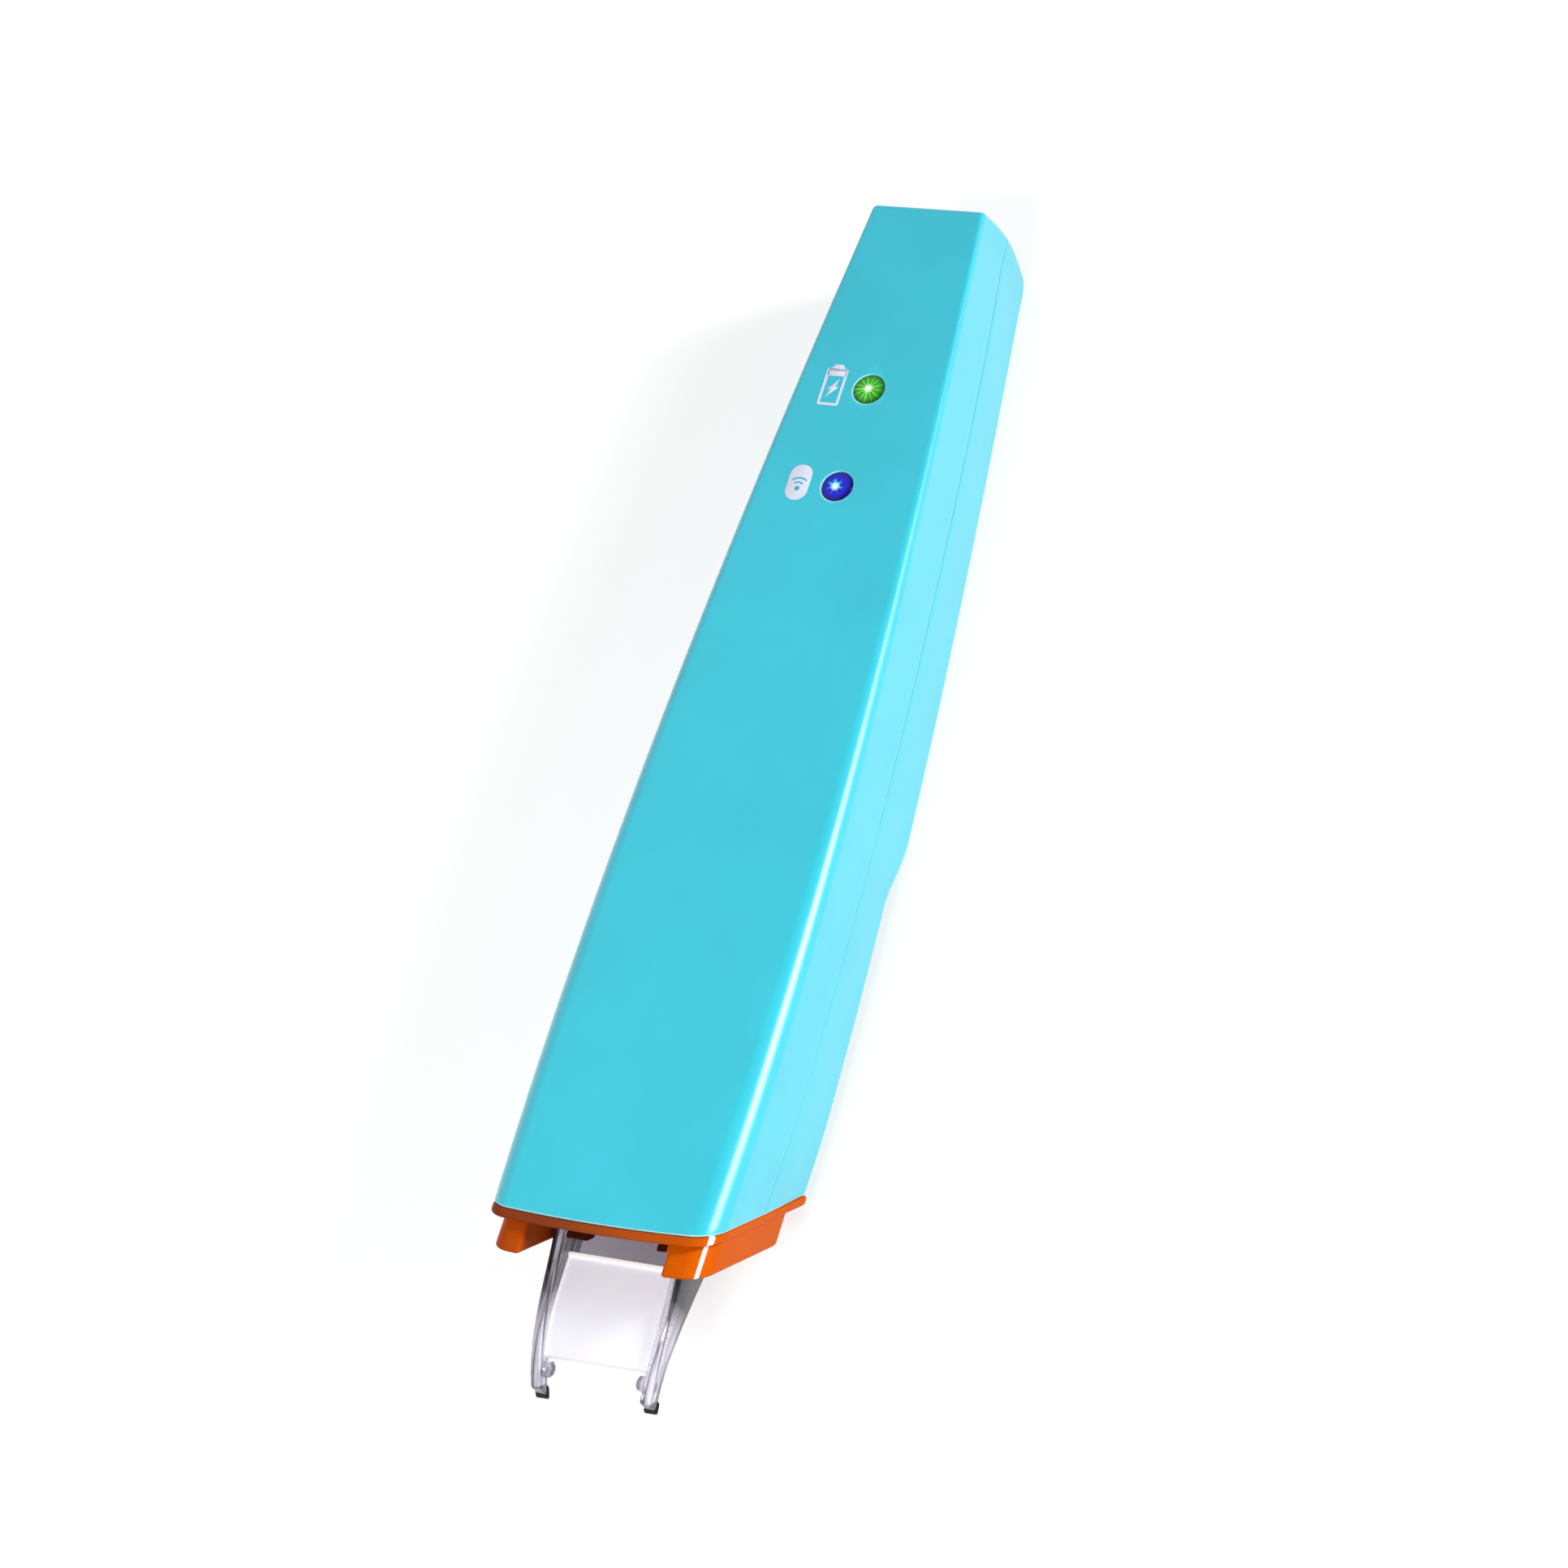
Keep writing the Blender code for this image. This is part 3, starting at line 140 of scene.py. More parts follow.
@dataclass
class Skin:
    """Points and four-cornered faces of one or more closed surfaces."""

    points: Array
    quads: Array

    def __add__(self, other: "Skin") -> "Skin":
        """Both skins as one."""
        return Skin(np.vstack([self.points, other.points]), np.vstack([self.quads, other.quads + len(self.points)]))

    def on_side(self, side: int) -> "Skin":
        """The skin itself on the left side, 1, or mirrored on the right side, -1."""
        return self if side > 0 else self.mirrored()

    def mirrored(self) -> "Skin":
        """The skin on the other side of the pen's middle plane, its faces turned back."""
        return Skin(self.points * np.array([1.0, -1.0, 1.0]), self.quads[:, ::-1])


def grid_skin(grid: Array, closed_rows: bool = False) -> Skin:
    """Faces over a grid of rings: corner (i, j) joins (i, j+1), (i+1, j+1) and (i+1, j).

    Args:
        grid: points, rings by points by three.
        closed_rows: whether the last ring joins the first.

    Returns:
        The skin over the grid.
    """
    rows, columns = grid.shape[:2]
    i, j = np.meshgrid(np.arange(rows if closed_rows else rows - 1), np.arange(columns), indexing="ij")
    i, j = i.ravel(), j.ravel()
    low, high = (i + 1) % rows, (j + 1) % columns
    quads = np.stack([i * columns + j, i * columns + high, low * columns + high, low * columns + j], axis=1)
    return Skin(grid.reshape(-1, 3), quads)


def lofted(rings: Sequence[Array]) -> Skin:
    """Closed skin through rings of points, its two end rings drawn in to their own middles."""
    grid = np.asarray(rings)
    first, last = (np.broadcast_to(row.mean(axis=0), grid[:1].shape) for row in (grid[0], grid[-1]))
    return grid_skin(np.concatenate([first, grid, last]))


def joined(skins: Iterable[Skin]) -> Skin:
    """Several skins as one."""
    return reduce(add, skins)


def make_piece(name: str, skin: Skin, material: Material, sharp: float = 40.0) -> Piece:
    """Mesh object from a skin in the pen's frame, welded, facing outwards and smooth.

    Args:
        name: the piece's name.
        skin: its surface in the pen's frame.
        material: its finish.
        sharp: edges bent by more degrees than this stay sharp.

    Returns:
        The object, which sits at the origin with its place in its mesh.
    """
    mesh = bpy.data.meshes.new(name)
    quads = skin.quads.astype(np.int32)
    mesh.vertices.add(len(skin.points))
    mesh.vertices.foreach_set("co", PEN.placed(skin.points).astype(np.float32).ravel())
    mesh.loops.add(quads.size)
    mesh.loops.foreach_set("vertex_index", quads.ravel())
    mesh.polygons.add(len(quads))
    mesh.polygons.foreach_set("loop_start", np.arange(0, quads.size, 4, dtype=np.int32))
    mesh.update(calc_edges=True)
    work = bmesh.new()
    work.from_mesh(mesh)
    bmesh.ops.remove_doubles(work, verts=work.verts[:], dist=WELD)
    bmesh.ops.recalc_face_normals(work, faces=work.faces[:])
    work.to_mesh(mesh)
    work.free()
    mesh.validate()
    smooth_mesh(mesh, sharp)
    mesh.materials.append(material)
    piece = bpy.data.objects.new(name, mesh)
    bpy.context.scene.collection.objects.link(piece)
    return piece


def smooth_mesh(mesh: bpy.types.Mesh, sharp: float) -> None:
    """Shade a mesh smooth, with edges bent by more than sharp degrees kept sharp."""
    mesh.shade_smooth()
    mesh.set_sharp_from_angle(angle=math.radians(sharp))


def carve(piece: Piece, cutters: Skin, sharp: float = 40.0) -> None:
    """Take closed cutters away from a piece and keep the result as its mesh.

    Args:
        piece: the piece that gets the holes.
        cutters: closed surfaces in the pen's frame.
        sharp: edges bent by more degrees than this stay sharp.
    """
    tool = make_piece(piece.name + "_cutter", cutters, piece.data.materials[0])
    modifier = piece.modifiers.new("holes", "BOOLEAN")
    modifier.solver, modifier.object = "EXACT", tool
    graph = bpy.context.evaluated_depsgraph_get()
    mesh = bpy.data.meshes.new_from_object(piece.evaluated_get(graph))
    piece.modifiers.clear()
    old, piece.data = piece.data, mesh
    name = old.name
    bpy.data.meshes.remove(old)
    mesh.name = name
    bpy.data.objects.remove(tool)
    smooth_mesh(mesh, sharp)


def place(piece: Piece, body: Body, slot: Slot, *nodes: str) -> None:
    """Let a piece ride on a body and hide the solids that it replaces.

    Args:
        piece: the piece.
        body: what it moves with.
        slot: not used.
        nodes: the solids that it replaces.
    """
    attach(piece, body.value)
    if nodes:
        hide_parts(*nodes)
    LOG.info("%s: %d faces, rides on %s", piece.name, len(piece.data.polygons), body.value)


def dress(name: str, skin: Skin, material: Material, body: Body, slot: Slot, *nodes: str,
          sharp: float = 50.0) -> Piece:
    """Make a piece from a skin and put it in its place.

    Args:
        name: the piece's name.
        skin: its surface in the pen's frame.
        material: its finish.
        body: what it moves with.
        slot: its material slot.
        nodes: the solids that it replaces.
        sharp: edges bent by more degrees than this stay sharp.

    Returns:
        The piece.
    """
    piece = make_piece(name, skin, material, sharp)
    place(piece, body, slot, *nodes)
    return piece


# --------------------------------------------------------------------------- shared curves


def unit(vectors: Array) -> Array:
    """Vectors with a length of 1."""
    return vectors / np.maximum(np.linalg.norm(vectors, axis=-1, keepdims=True), 1e-9)


def at_x(outline: Array, x: float) -> Array:
    """Ring of an outline in Y and Z, at x."""
    return np.column_stack([np.full(len(outline), x), outline])


def at_z(outline: Array, z: float) -> Array:
    """Ring of an outline in X and Y, at z."""
    return np.column_stack([outline, np.full(len(outline), z)])


def quarter(count: int) -> Array:
    """Angles of a quarter circle, from 0 to a right angle."""
    return np.linspace(0.0, np.pi / 2.0, count)


def fillet(radius: float, count: int) -> tuple[Array, Array]:
    """Two distances along a quarter round of an edge: radius (1 - cos a) and radius (1 - sin a)."""
    turn = quarter(count)
    return radius * (1.0 - np.cos(turn)), radius * (1.0 - np.sin(turn))


def circle(count: int) -> Array:
    """Angles all round, as many as count."""
    return np.linspace(0.0, 2.0 * np.pi, count, endpoint=False)


def eased(t: Array) -> Array:
    """Rise from 0 to 1 with level ends, 3t^2 - 2t^3."""
    t = np.clip(t, 0.0, 1.0)
    return t * t * (3.0 - 2.0 * t)


def rounded_outline(corners: Sequence[Triple], steps: int = 8) -> Array:
    """Closed outline with a circular arc of its own radius at each corner.

    The arc's centre lies on the corner's bisector at radius / sin(half the corner's angle), and
    the arc runs between the two points where it touches the sides.

    Args:
        corners: y, z and radius of each corner, in order round the outline.
        steps: segments of each arc.

    Returns:
        Points, corners times (steps + 1) by two.
    """
    spots = np.array([corner[:2] for corner in corners])
    radii = np.array([corner[2] for corner in corners])[:, None]
    before = unit(np.roll(spots, 1, axis=0) - spots)
    after = unit(np.roll(spots, -1, axis=0) - spots)
    middle = unit(before + after)
    half_sine = np.sqrt((1.0 - (before * after).sum(axis=1, keepdims=True)) / 2.0)
    centres = spots + middle * radii / half_sine
    start = spots + before * (((centres - spots) * before).sum(axis=1, keepdims=True)) - centres
    end = spots + after * (((centres - spots) * after).sum(axis=1, keepdims=True)) - centres
    angle = np.arctan2(start[:, 1], start[:, 0])
    turn = np.arctan2(end[:, 1], end[:, 0]) - angle
    turn = (turn + np.pi) % (2.0 * np.pi) - np.pi
    along = np.linspace(0.0, 1.0, steps + 1)
    angles = angle[:, None] + turn[:, None] * along
    arcs = centres[:, None, :] + radii[:, None] * np.stack([np.cos(angles), np.sin(angles)], axis=2)
    return arcs.reshape(-1, 2)


def box_outline(across: Pair, up: Pair, radius: float, steps: int = 8) -> Array:
    """Outline of a box between two limits each way, its corners rounded with one radius."""
    return rounded_outline([(across[0], up[0], radius), (across[1], up[0], radius), (across[1], up[1], radius),
                            (across[0], up[1], radius)], steps)


def inwards(outline: Array, distance: float) -> Array:
    """Outline moved inwards along its normals by a distance.

    Args:
        outline: closed outline, points by two.
        distance: how far each point moves.

    Returns:
        The smaller outline.
    """
    tangent = unit(np.roll(outline, -1, axis=0) - np.roll(outline, 1, axis=0))
    normal = np.stack([-tangent[:, 1], tangent[:, 0]], axis=1)
    area = (outline[:, 0] * np.roll(outline[:, 1], -1) - np.roll(outline[:, 0], -1) * outline[:, 1]).sum()
    return outline + normal * distance * (1.0 if area > 0 else -1.0)


def turned_rod(centre: Sequence[float], axis: Sequence[float], profile: Sequence[Pair], sides: int = 48) -> Skin:
    """Surface of revolution: each profile pair is a radius and a height along the axis.

    Args:
        centre: point on the axis where the height is 0.
        axis: direction of the axis, 1 long.
        profile: radius and height of each ring, in order.
        sides: points of each ring.

    Returns:
        A closed skin, its two ends drawn in to the axis.
    """
    way = np.array(axis)
    across = unit(np.cross((0.0, 1.0, 0.0) if abs(way[1]) < 0.9 else (1.0, 0.0, 0.0), way))
    other = np.cross(way, across)
    angle = circle(sides)
    ring = np.cos(angle)[:, None] * across + np.sin(angle)[:, None] * other
    return lofted([centre + height * way + radius * ring for radius, height in profile])


def prism(outline: Array, low: float, high: float, round_off: float = 0.0, steps: int = 4) -> Skin:
    """Upright prism over an outline in X and Y, its upper rim rounded.

    Args:
        outline: closed outline, points by two.
        low: height of the lower end.
        high: height of the upper end.
        round_off: radius of the rounding at the upper rim.
        steps: rings of the rounding.

    Returns:
        The closed skin.
    """
    rings = [at_z(outline, low)]
    for inset, down in zip(*fillet(round_off, steps + 1)) if round_off else ((0.0, 0.0),):
        rings.append(at_z(inwards(outline, inset), high - down))
    return lofted(rings)


# --------------------------------------------------------------------------- finishes


class TreeMaker:
    """Adds nodes to one tree and joins them."""

    def __init__(self, tree: bpy.types.NodeTree) -> None:
        """Take a tree and empty it."""
        self.tree = tree
        tree.nodes.clear()

    def add(self, kind: str, **settings: Any) -> bpy.types.Node:
        """New node of a kind, with its settings.

        Args:
            kind: Blender's name of the node type.
            settings: attributes of the node.

        Returns:
            The node.
        """
        node = self.tree.nodes.new(kind)
        for name, value in settings.items():
            setattr(node, name, value)
        return node

    def join(self, source: Socket, target: Socket) -> None:
        """Join an output to an input."""
        self.tree.links.new(source, target)

    def feed(self, target: Socket, value: Any) -> None:
        """Join a socket, or set a plain value, on an input."""
        if isinstance(value, Socket):
            self.join(value, target)
        else:
            target.default_value = value

    def spread(self, value: Socket, old: Pair, new: Pair = (0.0, 1.0)) -> Socket:
        """Value moved straight from one range to another, and kept inside it.

        Args:
            value: the value.
            old: its limits.
            new: the limits that these become.

        Returns:
            The new value.
        """
        node = self.add("ShaderNodeMapRange")
        self.join(value, node.inputs["Value"])
        for name, limit in zip(("From Min", "From Max", "To Min", "To Max"), (*old, *new)):
            node.inputs[name].default_value = limit
        return node.outputs["Result"]

    def times(self, first: Any, second: Any) -> Socket:
        """Product of two values."""
        return self.step("MULTIPLY", first, second)

    def plus(self, first: Any, second: Any) -> Socket:
        """Sum of two values."""
        return self.step("ADD", first, second)

    def less(self, first: Any, second: Any) -> Socket:
        """First value less the second."""
        return self.step("SUBTRACT", first, second)

    def step(self, operation: str, first: Any, second: Any = 0.0) -> Socket:
        """One step of arithmetic on two values."""
        node = self.add("ShaderNodeMath", operation=operation)
        self.feed(node.inputs[0], first)
        self.feed(node.inputs[1], second)
        return node.outputs[0]

    def mixed(self, amount: Any, first: Any, second: Any) -> Socket:
        """Number that goes from first to second with an amount."""
        node = self.add("ShaderNodeMix")
        for slot, value in ((0, amount), (2, first), (3, second)):
            self.feed(node.inputs[slot], value)
        return node.outputs[0]

    def blend(self, amount: Any, first: Any, second: Any) -> Socket:
        """Colour that goes from first to second with an amount.

        Args:
            amount: share of the second.
            first: colour or socket.
            second: colour or socket.

        Returns:
            The mixed colour.
        """
        node = self.add("ShaderNodeMix", data_type="RGBA")
        self.feed(node.inputs[0], amount)
        for socket, value in ((node.inputs[6], first), (node.inputs[7], second)):
            self.feed(socket, (*value, 1.0) if isinstance(value, tuple) else value)
        return node.outputs[2]

    def sharp_rays(self, seen: Any) -> Socket:
        """1 for rays that were mirrored or let through, else 0, from a light path's outputs."""
        return self.step("MAXIMUM", seen["Is Glossy Ray"], seen["Is Transmission Ray"])


class NodeMaker(TreeMaker):
    """Makes one material, over a Principled shader and the object's own coordinates."""

    def __init__(self, name: str) -> None:
        """Make a material with its two end nodes."""
        self.material = bpy.data.materials.new(name)
        self.material.use_nodes = True
        super().__init__(self.material.node_tree)
        self.shader = self.add("ShaderNodeBsdfPrincipled")
        self.join(self.shader.outputs["BSDF"], self.add("ShaderNodeOutputMaterial").inputs["Surface"])
        self.spot = self.add("ShaderNodeTexCoord").outputs["Object"]

    def shade(self, name: str, value: Any) -> None:
        """Join a socket, or set a plain value, on an input of the shader."""
        self.feed(self.shader.inputs[name], value)

    def mapped(self, source: Socket, name: str, value: Any) -> Socket:
        """Coordinates with one setting of a mapping node: Rotation or Scale.

        Args:
            source: the coordinates.
            name: the setting.
            value: what it is set to.

        Returns:
            The new coordinates.
        """
        mapping = self.add("ShaderNodeMapping")
        self.join(source, mapping.inputs["Vector"])
        mapping.inputs[name].default_value = value
        return mapping.outputs["Vector"]

    def pen_axes(self) -> tuple[Socket, ...]:
        """X, Y and Z of a point in the pen's own frame."""
        move = self.add("ShaderNodeVectorMath", operation="SUBTRACT")
        self.join(self.spot, move.inputs[0])
        move.inputs[1].default_value = PEN.origin
        parts = self.add("ShaderNodeSeparateXYZ")
        self.join(self.mapped(move.outputs[0], "Rotation", (0.0, -PEN.tilt, 0.0)), parts.inputs[0])
        return tuple(parts.outputs[:3])

    def length_of(self, first: Any, second: Any) -> Socket:
        """Length of a vector with two parts."""
        return self.step("SQRT", self.plus(self.times(first, first), self.times(second, second)))

    def nose_offset(self, x: Any, y: Any, z: Any) -> Socket:
        """Distance behind the bowed, slanted nose plane: x + slope z + bow (1 - (y / half)^2)."""
        share = self.step("DIVIDE", y, HULL.nose_half)
        bow = self.times(self.less(1.0, self.times(share, share)), HULL.nose_bow)
        return self.plus(self.plus(x, self.times(z, HULL.nose_slope)), self.plus(bow, HULL.nose_out))

    def noise(self, scale: float, detail: float = 2.0, spot: Any = None) -> Socket:
        """Soft noise whose features are about 1 / scale metres wide.

        Args:
            scale: features in a metre.
            detail: octaves.
            spot: coordinates, the object's own if there are none.

        Returns:
            The noise, about 0.5 on average.
        """
        node = self.add("ShaderNodeTexNoise")
        self.join(spot or self.spot, node.inputs["Vector"])
        node.inputs["Scale"].default_value = scale
        node.inputs["Detail"].default_value = detail
        return node.outputs["Fac"]

    def uneven(self, name: str, pattern: Socket, low: float, gain: float) -> None:
        """Let a pattern move a shader input from low up by gain."""
        self.shade(name, self.spread(pattern, (0.3, 0.7), (low, low + gain)))

    def wear(self) -> Socket:
        """How much a place lies on an outer edge, from the surface's own bend."""
        return self.spread(self.add("ShaderNodeNewGeometry").outputs["Pointiness"], (0.53, 0.62))

    def bump(self, height: Socket, distance: float, strength: float = 1.0) -> None:
        """Raise the surface by a height map; later calls lie on top of earlier ones.

        Args:
            height: the map.
            distance: height of its full range.
            strength: share of it that shows.
        """
        node = self.add("ShaderNodeBump")
        node.inputs["Strength"].default_value = strength
        node.inputs["Distance"].default_value = distance
        self.join(height, node.inputs["Height"])
        target = self.shader.inputs["Normal"]
        if target.is_linked:
            self.join(target.links[0].from_socket, node.inputs["Normal"])
        self.join(node.outputs["Normal"], target)


def scaled(colour: Colour, factor: float) -> Colour:
    """Colour made darker or lighter by a factor, no brighter than 1."""
    return tuple(min(1.0, channel * factor) for channel in colour)


@dataclass(frozen=True)
class Moulded:
    """Moulded plastic or rubber: soft mottling, moulded grain, paler edges, uneven gloss."""

    name: str
    colour: Colour
    roughness: float
    mottling: float = 0.05
    mottle_scale: float = 90.0
    grain_scale: float = 7000.0
    grain_depth: float = 0.00001
    edge: float = 0.25
    edge_gain: float = 1.5
    coat: float = 0.0
    coat_roughness: float = 0.06
    ior: float = 1.5
    specular: float = 0.5
    subsurface: float = 0.0
    # Light given off; on the tip's white panel and ridges it is painted light.
    glow: float = 0.0

    def build(self) -> Material:
        """The material, made of nodes."""
        maker = NodeMaker(self.name)
        cloud = maker.noise(self.mottle_scale, 4.0)
        base = maker.blend(maker.spread(cloud, (0.35, 0.65)), scaled(self.colour, 1.0 + self.mottling),
                           scaled(self.colour, 1.0 - self.mottling))
        edge = maker.times(maker.wear(), self.edge)
        worn = maker.blend(edge, base, scaled(self.colour, self.edge_gain))
        maker.shade("Base Color", self.accented(maker, worn))
        grain = maker.noise(self.grain_scale, 2.0)
        gloss = maker.plus(maker.spread(cloud, (0.3, 0.7), (-0.03, 0.03)),
                           maker.spread(grain, (0.3, 0.7), (self.roughness - 0.02, self.roughness + 0.02)))
        maker.shade("Roughness", gloss)
        for name, value in (("Specular IOR Level", self.specular), ("IOR", self.ior), ("Coat Weight", self.coat),
                            ("Coat Roughness", self.coat_roughness), ("Emission Color", WHITE),
                            ("Emission Strength", self.glow), ("Subsurface Weight", self.subsurface),
                            ("Subsurface Scale", 0.5 * MM)):
            maker.shade(name, value)
        maker.bump(maker.noise(self.mottle_scale * 6.0, 1.0), 2.0 * self.grain_depth, 0.3)
        maker.bump(grain, self.grain_depth)
        return maker.material

    def accented(self, maker: NodeMaker, colour: Socket) -> Socket:
        """Colour with the finish's own local accents; a plain moulding has none."""
        return colour


@dataclass(frozen=True)
class CaseFinish(Moulded):
    """Casing plastic: a painted highlight along the nose edge, a painted highlight round each window, brighter on one
    side, and painted shade towards the tail.
    """

    # Painted highlight along the nose edge.
    line: Colour = (0.55, 0.93, 0.98)
    # Painted highlight on the rim round each window.
    ring: Colour = (0.42, 0.92, 0.98)
    # Painted shade towards the tail.
    tail: Colour = (0.0, 0.25, 0.35)
    nose_width: float = 0.3 * MM
    ring_radii: Pair = (1.7 * MM, 2.02 * MM)
    ring_soft: float = 0.1 * MM
    ring_levels: Pair = (-0.5 * MM, -0.3 * MM)
    tail_shade_span: Pair = (70.0 * MM, 122.0 * MM)

    def accented(self, maker: NodeMaker, colour: Socket) -> Socket:
        """Painted shade towards the tail, a painted highlight line where the nose offset is small, and a painted
        highlight ring by the distance from each window, brighter on one side.

        Args:
            maker: the material's node maker.
            colour: the plain colour.

        Returns:
            The colour with its accents.
        """
        x, y, z = maker.pen_axes()
        # Painted shade towards the tail.
        colour = maker.blend(maker.spread(x, self.tail_shade_span, (0.0, 0.12)), colour, self.tail)
        # Painted highlight along the nose edge.
        colour = maker.blend(maker.spread(maker.nose_offset(x, y, z), (self.nose_width, 0.5 * self.nose_width)),
                             colour, self.line)
        # Painted highlight ring round each window; lean and side make it brighter on one side, as if lit from there.
        for centre in WINDOWS:
            along = maker.less(x, centre)
            reach = maker.length_of(along, y)
            inside = maker.spread(reach, (self.ring_radii[1], self.ring_radii[1] - self.ring_soft))
            lean = maker.less(maker.times(y, 0.85), maker.times(along, 0.5))
            side = maker.spread(maker.step("DIVIDE", lean, self.ring_radii[0]), (-0.9, 0.9), (0.25, 1.0))
            level = maker.spread(z, self.ring_levels)
            amount = maker.times(maker.times(inside, side), level)
            colour = maker.blend(amount, colour, self.ring)
        return colour


@dataclass(frozen=True)
class CollarFinish(Moulded):
    """Collar plastic: painted shade on the upper band, most on the left, further painted shade on the left side,
    painted deep shade on the lips under the rim between the guards, and a painted highlight on the right shoulder.
    """

    # Painted shade on the upper band, most on the left.
    shade: Colour = (0.2, 0.046, 0.016)
    # Painted shade on the left side.
    left_shade: Colour = (0.3, 0.036, 0.006)
    # Painted deep shade under the rim between the guards.
    deep: Colour = (0.05, 0.008, 0.003)
    upper_span: Pair = (-1.5 * MM, -0.9 * MM)
    shade_span: Pair = (-12.8 * MM, 6.0 * MM)
    left_shade_span: Pair = (2.0 * MM, 9.0 * MM)
    band: float = -1.2 * MM
    band_soft: float = 0.05 * MM
    front_soft: float = 0.12 * MM
    lip_soft: float = 0.02 * MM
    lip_half: float = 8.0 * MM
    # Painted highlight on the right shoulder of the guard and rim.
    shoulder_highlight: Colour = (1.0, 0.95, 0.9)
    corner: Pair = (-10.35 * MM, -3.1 * MM)
    highlight_turn: Pair = (0.76, 0.125)
    highlight_reach: Pair = (1.7 * MM, 1.85 * MM)

    def accented(self, maker: NodeMaker, colour: Socket) -> Socket:
        """Painted shade above the guards and on the left, painted deep shade under the rim between them, and a painted
        highlight on the right shoulder.

        Args:
            maker: the material's node maker.
            colour: the plain colour.

        Returns:
            The colour with its accents.
        """
        x, y, z = maker.pen_axes()
        offset = maker.nose_offset(x, y, z)
        behind = maker.spread(offset, (self.band - self.band_soft, self.band + self.band_soft))
        upper = maker.spread(z, self.upper_span)
        side = maker.spread(y, self.shade_span, (0.05, 1.0))
        # Painted shade on the upper band.
        colour = maker.blend(maker.times(maker.times(behind, upper), side), colour, self.shade)
        # Painted shade on the left side.
        colour = maker.blend(maker.spread(y, self.left_shade_span, (0.0, 0.5)), colour, self.left_shade)
        between = maker.spread(maker.step("ABSOLUTE", y), (self.lip_half + self.lip_soft, self.lip_half))
        front = maker.spread(offset, (self.band + self.front_soft, self.band))
        # Painted deep shade under the rim between the guards.
        colour = maker.blend(maker.times(between, front), colour, self.deep)
        # Painted highlight on the right shoulder.
        out, high = maker.less(self.corner[0], y), maker.less(z, self.corner[1])
        turn = maker.step("ABSOLUTE", maker.less(maker.step("ARCTAN2", high, out), self.highlight_turn[0]))
        line = maker.spread(turn, (self.highlight_turn[1], 0.7 * self.highlight_turn[1]))
        reach = maker.spread(maker.length_of(out, high), self.highlight_reach)
        return maker.blend(maker.times(line, reach), colour, self.shoulder_highlight)


@dataclass(frozen=True)
class ClearPlastic:
    """Polished clear plastic: sharp refraction, a cool tint and faint flow lines, with painted shade at the root,
    where the dark inside would show through, and a near-black painted reflection of the dark inside on the outer faces
    there.
    """

    name: str
    tint: Colour = (0.95, 0.95, 0.99)
    ior: float = 1.56
    roughness: float = 0.03
    # Painted shade of the dark inside, seen through the plate at the root.
    root_shade: Colour = (0.95, 0.95, 0.99)
    root_span: Pair = (-8.5 * MM, -5.0 * MM)
    plate_span: Pair = (6.4 * MM, 6.3 * MM)
    # Near-black painted reflection of the dark inside, on the outer faces at the root.
    side_reflection: Colour = (0.01, 0.01, 0.014)
    side_span: Pair = (6.95 * MM, 7.1 * MM)
    flow_reach: float = -15.2 * MM
    flow_drop: float = 3.3 * MM
    flow_stretch: float = 0.06
    flow_scale: float = 1500.0
    clarity: float = 0.82

    def build(self) -> Material:
        """The material, made of nodes."""
        maker = NodeMaker(self.name)
        x, y, z = maker.pen_axes()
        bend = maker.step("POWER", maker.spread(x, (0.0, self.flow_reach)), 4.0)
        level = maker.plus(z, maker.times(bend, self.flow_drop))
        flow = maker.add("ShaderNodeCombineXYZ")
        for target, value in zip(flow.inputs, (maker.times(x, self.flow_stretch), y, level)):
            maker.join(value, target)
        lines = maker.noise(self.flow_scale, 2.0, flow.outputs[0])
        streak = maker.spread(lines, (0.44, 0.58))
        clear = maker.blend(streak, scaled(self.tint, 1.3), scaled(self.tint, 0.72))
        root = maker.spread(x, self.root_span)
        outward = maker.step("ABSOLUTE", y)
        plate = maker.spread(outward, self.plate_span)
        # Painted shade on the plate at the root.
        shaded_plate = maker.blend(plate, clear, self.root_shade)
        # Near-black painted reflection on the outer faces.
        dark = maker.blend(maker.spread(outward, self.side_span), shaded_plate, self.side_reflection)
        maker.shade("Base Color", maker.blend(root, clear, dark))
        maker.uneven("Roughness", lines, self.roughness, 2.0 * self.roughness)
        maker.shade("Transmission Weight", self.clarity)
        maker.shade("IOR", self.ior)
        maker.bump(lines, 0.000004, 0.4)
        return maker.material


